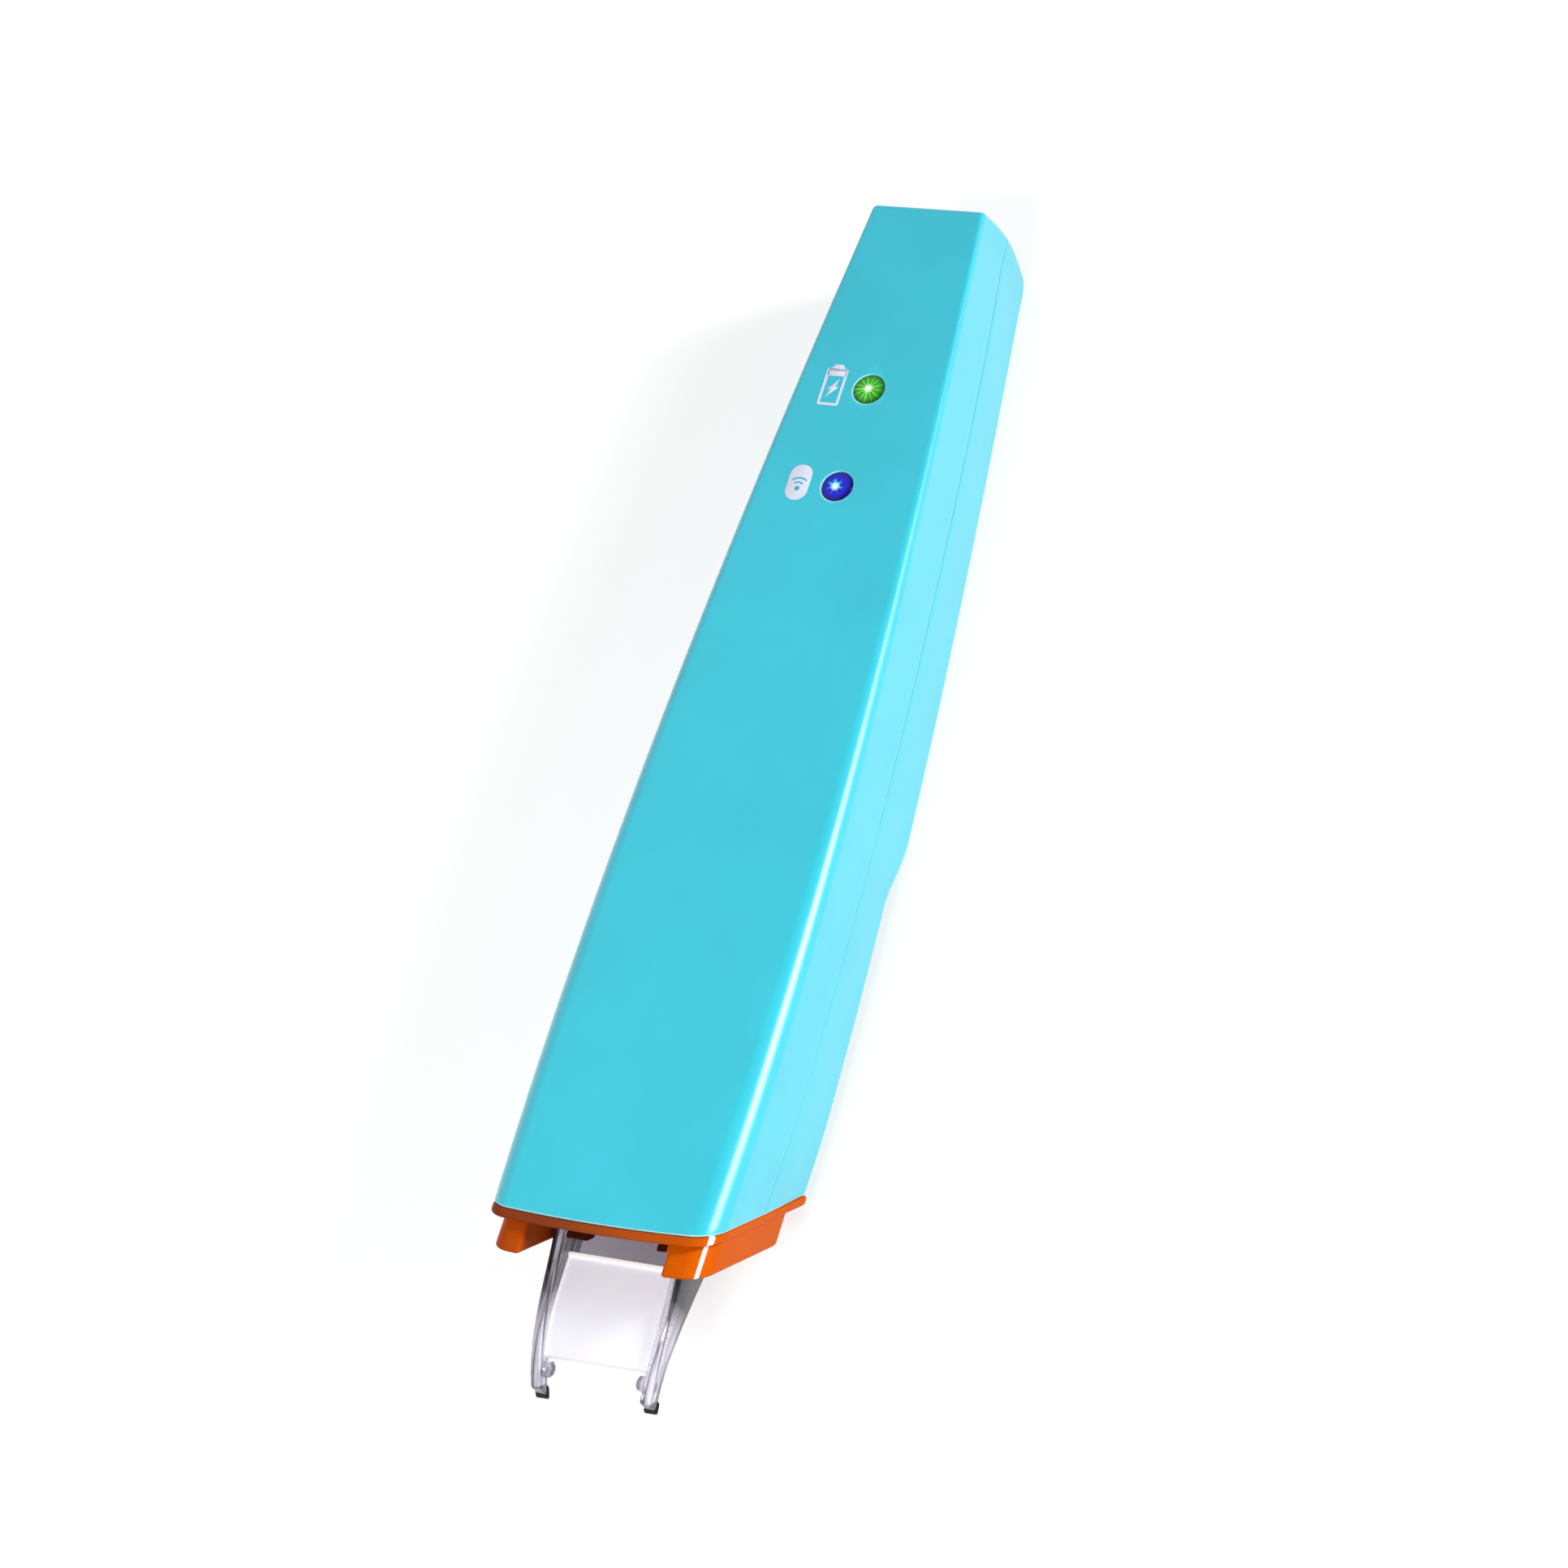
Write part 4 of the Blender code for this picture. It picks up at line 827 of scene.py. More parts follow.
@dataclass(frozen=True)
class Glow:
    """Lit indicator window: a star of rays round a white heart, fading to a dark rim.

    The centre is an X on the middle plane, the heart's place is from there, and star and core are
    in radii: where the star's shortest ray ends, how much longer the others are, and its soft edge.
    """

    name: str
    rim: Colour
    body: Colour
    bright: Colour
    centre: float
    radius: float
    rays: float
    star: Triple
    heart: Pair
    core: float
    stray: float = 9.0
    strength: float = 0.95

    def build(self) -> Material:
        """The material: the star's reach is inner + ray times span."""
        maker = NodeMaker(self.name)
        x, y, _ = maker.pen_axes()
        share = maker.step("DIVIDE", maker.length_of(maker.less(x, self.centre), y), self.radius)
        along, over = maker.less(x, self.centre + self.heart[0]), maker.less(y, self.heart[1])
        reach = maker.step("DIVIDE", maker.length_of(along, over), self.radius)
        angle = maker.step("ARCTAN2", over, along)
        around = maker.add("ShaderNodeCombineXYZ")
        maker.join(maker.step("SINE", angle), around.inputs[0])
        maker.join(maker.step("COSINE", angle), around.inputs[1])
        stray = maker.times(maker.noise(2.0, 2.0, around.outputs[0]), self.stray)
        wave = maker.step("SINE", maker.plus(maker.times(angle, self.rays), stray))
        ray = maker.spread(wave, (-0.6, 1.0))
        inner, span, soft = self.star
        edge = maker.less(reach, maker.times(ray, span))
        body = maker.blend(maker.spread(share, (0.62, 0.98)), self.body, self.rim)
        lit = maker.blend(maker.spread(edge, (inner, inner - soft)), body, self.bright)
        white = maker.blend(maker.spread(reach, (self.core, 0.05 * self.core)), lit, (1.0, 1.0, 0.92))
        maker.shade("Base Color", maker.blend(0.75, white, (0.0, 0.0, 0.0)))
        maker.shade("Emission Color", white)
        maker.shade("Emission Strength", self.strength)
        maker.shade("Roughness", maker.spread(ray, (0.0, 1.0), (0.12, 0.2)))
        return maker.material


@dataclass(frozen=True)
class Metal:
    """Plated or drawn metal with fine lines along one axis and dulled patches."""

    name: str
    colour: Colour
    roughness: float = 0.28
    lines: Triple = (40.0, 2500.0, 2500.0)
    dulled: float = 0.12

    def build(self) -> Material:
        """The material, made of nodes."""
        maker = NodeMaker(self.name)
        drawn = maker.noise(1.0, 2.0, maker.mapped(maker.spot, "Scale", self.lines))
        patch = maker.noise(400.0, 3.0)
        maker.shade("Base Color", maker.blend(maker.spread(patch, (0.4, 0.7)), self.colour,
                                              scaled(self.colour, 0.8)))
        fine = maker.spread(drawn, (0.3, 0.7), (self.roughness, self.roughness + 0.08))
        maker.shade("Roughness", maker.plus(fine, maker.spread(patch, (0.45, 0.7), (0.0, self.dulled))))
        maker.shade("Metallic", 1.0)
        maker.bump(drawn, 0.000003, 0.5)
        return maker.material


@dataclass(frozen=True)
class Printed:
    """Circuit material: a lacquered sheet with copper tracks along its own axes and small vias."""

    name: str
    colour: Colour
    track: Colour
    pitch: float
    roughness: float = 0.3

    def build(self) -> Material:
        """The material, made of nodes."""
        maker = NodeMaker(self.name)
        parts = maker.add("ShaderNodeSeparateXYZ")
        maker.join(maker.spot, parts.inputs[0])
        bend = maker.spread(maker.noise(120.0, 0.0), (0.0, 1.0), (-self.pitch, self.pitch))
        across = maker.plus(parts.outputs[1], maker.step("SNAP", bend, self.pitch))
        wave = maker.step("FRACT", maker.step("DIVIDE", across, self.pitch))
        track = maker.spread(wave, (0.42, 0.5))
        broken = maker.spread(maker.noise(260.0, 0.0), (0.48, 0.5))
        amount = maker.times(track, broken)
        stain = maker.spread(maker.noise(900.0, 3.0), (0.3, 0.7), (0.0, 0.25))
        base = maker.blend(stain, self.colour, scaled(self.colour, 0.6))
        maker.shade("Base Color", maker.blend(amount, base, self.track))
        maker.uneven("Roughness", maker.noise(700.0), self.roughness, 0.12)
        maker.bump(amount, 0.00002, 0.5)
        return maker.material


@dataclass(frozen=True)
class Foil:
    """Crinkled pouch foil or open foam: broad creases over a fine cell pattern."""

    name: str
    colour: Colour
    roughness: float
    metallic: float
    crease_scale: float
    crease_depth: float

    def build(self) -> Material:
        """The material, made of nodes."""
        maker = NodeMaker(self.name)
        crease = maker.noise(self.crease_scale, 5.0)
        maker.shade("Base Color", maker.blend(maker.spread(crease, (0.35, 0.65)), self.colour,
                                              scaled(self.colour, 0.72)))
        maker.uneven("Roughness", maker.noise(3000.0), self.roughness, 0.1)
        maker.shade("Metallic", self.metallic)
        maker.bump(crease, self.crease_depth)
        return maker.material


def srgb(red: int, green: int, blue: int) -> Colour:
    """Linear colour of a screen colour of 0 to 255."""
    shares = np.array([red, green, blue]) / 255.0
    linear = np.where(shares <= 0.04045, shares / 12.92, ((shares + 0.055) / 1.055) ** 2.4)
    return tuple(float(value) for value in linear)


# --------------------------------------------------------------------------- casing


@dataclass(frozen=True)
class HullForm:
    """The tapered hull: its width, depth, edge rounding, slanted nose and bowed tail."""

    length: float = 122.0 * MM
    nose_half: float = 13.1 * MM
    tail_half: float = 6.75 * MM
    nose_flare: float = 0.030
    tail_taper: float = -0.098
    nose_depth: float = 18.6 * MM
    grip_depth: float = 17.2 * MM
    hump_depth: float = 19.0 * MM
    grip_end: float = 45.0 * MM
    hump_start: float = 54.0 * MM
    top_radius_nose: float = 2.7 * MM
    top_radius_tail: float = 0.6 * MM
    low_radius: float = 0.9 * MM
    seam_nose: float = 9.6 * MM
    seam_tail: float = 7.3 * MM
    nose_slope: float = math.tan(math.radians(35.4))
    nose_out: float = 0.5 * MM
    slant_fade: float = 26.0 * MM
    nose_bow: float = 0.46 * MM
    tail_bow: float = 1.6 * MM
    bow_span: float = 0.8 * math.pi
    tail_corner: float = 3.0 * MM

    def half_width(self, x: Array) -> Array:
        """Half the width at x: the cubic with the given end widths and end slopes."""
        t = x / self.length
        return (self.nose_half * (2 * t ** 3 - 3 * t ** 2 + 1) + self.tail_half * (3 * t ** 2 - 2 * t ** 3)
                + self.length * (self.nose_flare * (t ** 3 - 2 * t ** 2 + t) + self.tail_taper * (t ** 3 - t ** 2)))

    def underside(self, x: Array) -> Array:
        """Depth at x: a straight nose line eased into a straight hump line."""
        lip = self.nose_depth * self.nose_slope
        nose = self.nose_depth + (self.grip_depth - self.nose_depth) * (x - lip) / (self.grip_end - lip)
        hump = self.hump_depth - math.tan(PEN.tilt) * (x - self.hump_start)
        return nose + (hump - nose) * eased((x - self.grip_end) / (self.hump_start - self.grip_end))

    def seam(self, x: Array) -> Array:
        """Depth of the parting line at x, which rises as the mean of t^2 and t^12."""
        t = np.clip(x / self.length, 0.0, 1.1)
        return self.seam_nose + (self.seam_tail - self.seam_nose) * (t ** 2 + t ** 12) / 2.0

    def depth(self, x: Array) -> Array:
        """Depth of the ring at x, less the rounded lower corner of the tail.

        Args:
            x: the ring's place on the top face.

        Returns:
            The depth, above 0.
        """
        low = x + self.slope(x) * self.nose_depth + self.tail_share(x) * self.tail_bow * math.sin(self.bow_span)
        reach = np.clip(low - (self.length + self.tail_bow - self.tail_corner), 0.0, self.tail_corner)
        lift = self.tail_corner - np.sqrt(self.tail_corner ** 2 - reach ** 2)
        return self.underside(low) - lift

    def slope(self, x: Array) -> Array:
        """How far the ring at x leans back for each metre of depth."""
        return self.nose_slope * np.clip(1.0 - x / self.slant_fade, 0.0, 1.0)

    def tail_share(self, x: Array) -> Array:
        """How much of the tail's bow the ring at x has."""
        return eased(1.0 + (x - self.length) / self.tail_corner)

    def edge_radius(self, x: Array) -> Array:
        """Radius of the top edge at x, broad at the nose and tight at the tail."""
        return self.top_radius_nose + (self.top_radius_tail - self.top_radius_nose) * eased(x / self.length)

    def forward(self, x: Array, y: Array, z: Array) -> Array:
        """X of the ring's point at y and z: x, the lean, less the nose bow, plus the tail bow.

        Args:
            x: the ring's place on the top face.
            y: distance to the left.
            z: height.

        Returns:
            X of the point.
        """
        fade = np.clip(1.0 - x / self.slant_fade, 0.0, 1.0)
        bow = (self.nose_out + self.nose_bow * (1.0 - (y / self.half_width(x)) ** 2)) * fade
        down = np.clip(-z / self.depth(x), 0.0, 1.0)
        return x - self.slope(x) * z - bow + self.tail_bow * self.tail_share(x) * np.sin(self.bow_span * down)


HULL = HullForm()


@dataclass
class Casing:
    """The two moulded covers, with their wall, parting line and openings."""

    wall: float = 1.4 * MM
    parting: float = 0.11 * MM
    seam_edge: float = 0.08 * MM
    nose_edge: float = 0.32 * MM
    tail_edge: float = 0.55 * MM
    lower_draft: float = 0.35 * MM
    least_radius: float = 0.4 * MM
    window_radius: float = 1.77 * MM
    window_edge: float = 0.2 * MM
    window_depth: float = 3.0 * MM
    window_over: float = 1.0 * MM
    window_sides: int = 64
    sharp: float = 32.0
    button_gap: float = 0.5 * MM
    button_depth: float = 3.0 * MM
    button_over: float = 2.0 * MM
    inlet_half: float = 4.0 * MM
    inlet_levels: Pair = (-8.35 * MM, -5.25 * MM)
    inlet_corner: float = 0.9 * MM
    inlet_span: Pair = (118.0 * MM, 125.0 * MM)
    tail_part: float = 3.5 * MM
    ring_counts: tuple[int, ...] = (44, 18, 28, 50, 16)
    screw_x: Pair = (40.5 * MM, 112.0 * MM)
    screw_inward: float = 1.6 * MM
    screw_bore: tuple[Pair, ...] = ((1.75 * MM, -1.0 * MM), (1.75 * MM, 0.0), (1.6 * MM, 0.15 * MM),
                                    (1.6 * MM, 2.9 * MM))
    finish: Moulded = CaseFinish("case_plastic", srgb(55, 198, 219), 0.34, mottling=0.03, edge=0.3, edge_gain=1.3,
                                 grain_depth=0.000004, coat=1.0, coat_roughness=0.27, specular=0.1)

    def stations(self) -> tuple[Array, Array, Array]:
        """Place, inset and shrink of every ring, from the nose edge to the tail's middle.

        The nose edge is a quarter circle, x = r(1 - cos a) with inset r(1 - sin a), and the tail
        edge is its mirror. The last rings shrink into the middle of the tail face.

        Returns:
            Three columns, one value for each ring.
        """
        start, length = self.nose_edge, HULL.length
        nose_x, nose_inset = fillet(start, 7)
        tail_inset, tail_back = fillet(self.tail_edge, 9)
        limits = (start, HULL.slant_fade, HULL.grip_end, HULL.hump_start, length - self.tail_part,
                  length - self.tail_edge)
        body = np.concatenate([np.linspace(low, high, count)[1:]
                               for low, high, count in zip(limits, limits[1:], self.ring_counts)])[:-1]
        shrink = np.linspace(1.0, 0.0, 16)[1:]
        x = np.concatenate([nose_x, body, length - tail_back, np.full(len(shrink), length)])
        inset = np.concatenate([nose_inset, np.zeros(len(body)), tail_inset, np.full(len(shrink), self.tail_edge)])
        share = np.concatenate([np.ones(len(x) - len(shrink)), shrink])
        return x[:, None], inset[:, None], share[:, None]

    def half_path(self, cover: Cover, x: Array, inset: Array, lip: float) -> tuple[Array, Array]:
        """One side of a cover's section: lip, side wall, rounded edge, then flat to the middle.

        Args:
            cover: which half of the casing.
            x: place of each ring, as a column.
            inset: how far inside the outer surface, as a column.
            lip: radius of the edge along the parting line.

        Returns:
            y and z, rings by points.
        """
        sign = cover.value
        half = HULL.half_width(x) - inset
        far = -inset if cover is Cover.TOP else inset - HULL.depth(x)
        outer = HULL.edge_radius(x) if cover is Cover.TOP else HULL.low_radius
        radius = np.maximum(outer - inset, self.least_radius)
        seam = self.seam_height(x, half) + sign * self.parting / 2.0
        turn = np.linspace(-np.pi / 2.0, 0.0, 5)
        lip_y, lip_z = half - lip + lip * np.cos(turn), seam + sign * lip * (1.0 + np.sin(turn))
        rise = np.linspace(0.0, 1.0, 12)[1:-1]
        side_z = seam + sign * lip + (far - sign * radius - seam - sign * lip) * rise
        arc = quarter(15)
        arc_y = half - radius + radius * np.cos(arc)
        arc_z = far - sign * radius + sign * radius * np.sin(arc)
        flat = (half - radius) * np.linspace(1.0, 0.0, 12)[1:]
        y = np.hstack([lip_y, np.broadcast_to(half, side_z.shape), arc_y, flat])
        z = np.hstack([lip_z, side_z, arc_z, np.broadcast_to(far, flat.shape)])
        if cover is Cover.BOTTOM:
            y = y * (1.0 - self.lower_draft / half * eased((seam - z) / (seam - far)))
        return y, z

    def seam_height(self, x: Array, half: Array) -> Array:
        """Height of the parting line on the ring at x, found in four steps along the ring."""
        z = -HULL.seam(x)
        for _ in range(4):
            z = -HULL.seam(HULL.forward(x, half, z))
        return z

    def shell(self, cover: Cover) -> Skin:
        """Closed shell of one cover: outer section and inner section joined at the two lips.

        Args:
            cover: which half of the casing.

        Returns:
            The skin, closed across the nose and in the middle of the tail.
        """
        x, inset, share = self.stations()
        inner_x = x * (HULL.length - self.wall) / HULL.length
        layers = []
        for place_x, extra, lip in ((x, inset, self.seam_edge), (inner_x, np.full_like(x, self.wall), 0.0)):
            y, z = self.half_path(cover, place_x, extra, lip)
            y, z = np.hstack([y, -y[:, -2::-1]]), np.hstack([z, z[:, -2::-1]])
            middle = self.seam_height(place_x, y[:, :1]) + cover.value * self.parting / 2.0
            y, z = y * share, middle + (z - middle) * share
            layers.append(np.stack([HULL.forward(place_x, y, z), y, z], axis=2))
        outer, inner = layers
        ring = np.concatenate([outer, inner[:, ::-1]], axis=1)
        skin = grid_skin(ring)
        count, total = outer.shape[1], ring.shape[1]
        i = np.arange(count - 1)
        nose = np.stack([i, i + 1, total - 2 - i, total - 1 - i], axis=1)
        return Skin(skin.points, np.vstack([skin.quads, nose]))

    def window_cutters(self) -> Skin:
        """Holes of the two indicator windows, each with a small rounded rim."""
        radius, edge = self.window_radius, self.window_edge
        rim = [(radius + out, -down) for out, down in zip(*fillet(edge, 5))]
        profile = [(radius, -self.window_depth), *rim, (radius + edge, self.window_over)]
        return joined(turned_rod((x, 0.0, 0.0), UP, profile, self.window_sides) for x in WINDOWS)

    def inlet_cutter(self) -> Skin:
        """Rounded block that opens the tail for the charging inlet."""
        outline = box_outline((-self.inlet_half, self.inlet_half), self.inlet_levels, self.inlet_corner)
        return lofted([at_x(outline, x) for x in self.inlet_span])

    def button_cutter(self) -> Skin:
        """Stadium that opens the left wall for the power button."""
        button, gap = PowerButton, self.button_gap
        outline = stadium(button.centre_x, -button.depth, button.length + gap, button.height + gap)
        wall_y = HULL.half_width(button.centre_x)
        rings = [np.column_stack([outline[:, 0], np.full(len(outline), y), outline[:, 1]])
                 for y in (wall_y - self.button_depth, wall_y + self.button_over)]
        return lofted(rings)

    def screw_places(self) -> list[Pair]:
        """X and Y of the four cover screws."""
        inward = self.wall + self.screw_inward
        return [(x, side * (HULL.half_width(x) - inward)) for x in self.screw_x for side in (-1, 1)]

    def screw_cutters(self) -> Skin:
        """Counterbores under the four cover screws, with softened rims."""
        return joined(turned_rod((x, y, -HULL.underside(x)), UP, self.screw_bore, 40)
                      for x, y in self.screw_places())

    def build(self) -> None:
        """Make both covers and dress them."""
        material = self.finish.build()
        above = self.window_cutters() + self.button_cutter()
        for name, node, cover, holes in (("upper_casing", "top_cover", Cover.TOP, above),
                                         ("lower_casing", "bottom_cover", Cover.BOTTOM, self.screw_cutters())):
            piece = make_piece(name, self.shell(cover), material)
            carve(piece, holes + self.inlet_cutter(), self.sharp)
            place(piece, Body.CASING, Slot.CASE_BLUE, node)


def stadium(x: float, z: float, length: float, height: float, steps: int = 12) -> Array:
    """Outline with two half circles as its ends, about x and z.

    Args:
        x: middle along the length.
        z: middle along the height.
        length: whole length.
        height: whole height, twice the ends' radius.
        steps: segments of each half circle.

    Returns:
        Points by two.
    """
    turn = np.linspace(-np.pi / 2.0, np.pi / 2.0, steps + 1)
    reach = (length - height) / 2.0
    right = np.column_stack([reach + height / 2.0 * np.cos(turn), height / 2.0 * np.sin(turn)])
    return np.vstack([right, -right]) + np.array([x, z])


# --------------------------------------------------------------------------- collar


@dataclass
class Collar:
    """Glossy collar on the slanted nose: rim, sleeve, two side guards and two lips."""

    gap: float = 0.04 * MM
    rim: float = 1.05 * MM
    proud: float = 0.04 * MM
    rim_round: float = 0.32 * MM
    sleeve: float = 3.8 * MM
    opening: Triple = (8.05 * MM, -2.2 * MM, -14.8 * MM)
    opening_round: float = 0.6 * MM
    guard_reach: float = 3.95 * MM
    guard_inner: float = 8.05 * MM
    guard_outer: Pair = (11.85 * MM, 12.7 * MM)
    guard_levels: Pair = (-1.1 * MM, -16.1 * MM)
    guard_round: float = 1.3 * MM
    guard_shoulder: float = 2.4 * MM
    guard_inner_round: float = 0.5 * MM
    guard_rim: float = 0.45 * MM
    lips: tuple[Pair, ...] = ((0.9 * MM, 3.5 * MM), (-8.8 * MM, -6.8 * MM))
    lip_levels: Pair = (-2.5 * MM, -1.1 * MM)
    lip_round: float = 0.25 * MM
    lip_reach: float = 1.2 * MM
    sleeve_inset: float = 1.7 * MM
    sleeve_wall: float = 1.2 * MM
    sleeve_radii: Pair = (0.5 * MM, 0.4 * MM)
    sleeve_round: float = 0.15 * MM
    overlap: float = 0.5 * MM
    finish: Moulded = CollarFinish("collar_plastic", srgb(208, 89, 3), 0.2, mottling=0.05, specular=0.25, edge=0.2,
                                   edge_gain=1.3, grain_scale=2500.0, grain_depth=0.0000015, ior=1.14)

    def outline(self, half: float, top: float, bottom: float, top_radius: float, low_radius: float) -> Array:
        """Closed outline of a section with one radius above and one below, evenly spaced sides."""
        arcs = rounded_outline([(half, top, top_radius), (half, bottom, low_radius), (-half, bottom, low_radius),
                                (-half, top, top_radius)], 10).reshape(4, 11, 2)
        share = np.linspace(0.0, 1.0, 14)[1:-1, None]
        return np.vstack([np.vstack([arc, arc[-1] + (following[0] - arc[-1]) * share])
                          for arc, following in zip(arcs, np.roll(arcs, -1, axis=0))])

    def slanted(self, outline: Array, offset: Array | float) -> Array:
        """Points of an outline laid on the slanted nose plane: x = offset - slope z - bow."""
        y, z = outline[..., 0], outline[..., 1]
        bow = HULL.nose_out + HULL.nose_bow * (1.0 - (y / HULL.nose_half) ** 2)
        return np.stack([offset - HULL.nose_slope * z - bow, y, z], axis=-1)

    def tube(self, outer: Array, inner: Array, front: float, back: float, round_off: float) -> Skin:
        """Frame between two outlines, its section a rectangle with four rounded corners.

        Args:
            outer: outer outline.
            inner: inner outline with as many points.
            front: offset of the front face.
            back: offset of the rear face.
            round_off: radius of the corners.

        Returns:
            The closed skin.
        """
        reach = np.linalg.norm(inner - outer, axis=1)
        near, deep = fillet(round_off, 5)
        rows = []
        for from_outer, steps, offsets in ((True, near, front + deep), (False, near[::-1], (front + deep)[::-1]),
                                           (False, near, back - deep), (True, near[::-1], (back - deep)[::-1])):
            for step, offset in zip(steps, offsets):
                share = step / reach if from_outer else 1.0 - step / reach
                rows.append(self.slanted(outer + (inner - outer) * share[:, None], offset))
        return grid_skin(np.array(rows), closed_rows=True)

    def block(self, outline: Array, front: float, back: float, round_off: float) -> Skin:
        """Block along the slant, its front rim a quarter circle and its root flat."""
        rows = [self.slanted(outline, back)]
        rows += [self.slanted(inwards(outline, inset), front + behind) for inset, behind in zip(*fillet(round_off, 6))]
        return lofted(rows)

    def build(self) -> None:
        """Make the collar's four forms and dress them as one moulding."""
        half, low, high = HULL.nose_half, HULL.depth(0.0), HULL.top_radius_nose
        front = -self.gap - self.rim
        edge = self.outline(half + self.proud, self.proud, -low - self.proud, high + self.proud,
                            HULL.low_radius + self.proud)
        hole = self.outline(*self.opening, self.opening_round, self.opening_round)
        skin = self.tube(edge, hole, front, -self.gap, self.rim_round)
        wall = self.sleeve_inset
        deep = wall + self.sleeve_wall
        outer = self.outline(half - wall, -wall, wall - low, high - wall, self.sleeve_radii[0])
        inner = self.outline(half - deep, -deep, deep - low, *self.sleeve_radii)
        skin += self.tube(outer, inner, -self.gap - 2.0 * self.sleeve_round, self.sleeve, self.sleeve_round)
        top, bottom = self.guard_levels
        near, soft = self.guard_inner, self.guard_inner_round
        for side, far in zip((1, -1), self.guard_outer):
            guard = rounded_outline([(far, top, self.guard_shoulder), (far, bottom, self.guard_round),
                                     (near, bottom, soft), (near, top, soft)], 12)
            skin += self.block(guard, front - self.guard_reach, front + self.overlap, self.guard_rim).on_side(side)
        for limits in self.lips:
            skin += self.block(box_outline(limits, self.lip_levels, self.lip_round), front - self.lip_reach,
                               front + self.overlap, self.lip_round)
        dress("nose_frame", skin, self.finish.build(), Body.CASING, Slot.COLLAR_ORANGE, "nose_collar")


# --------------------------------------------------------------------------- scan tip


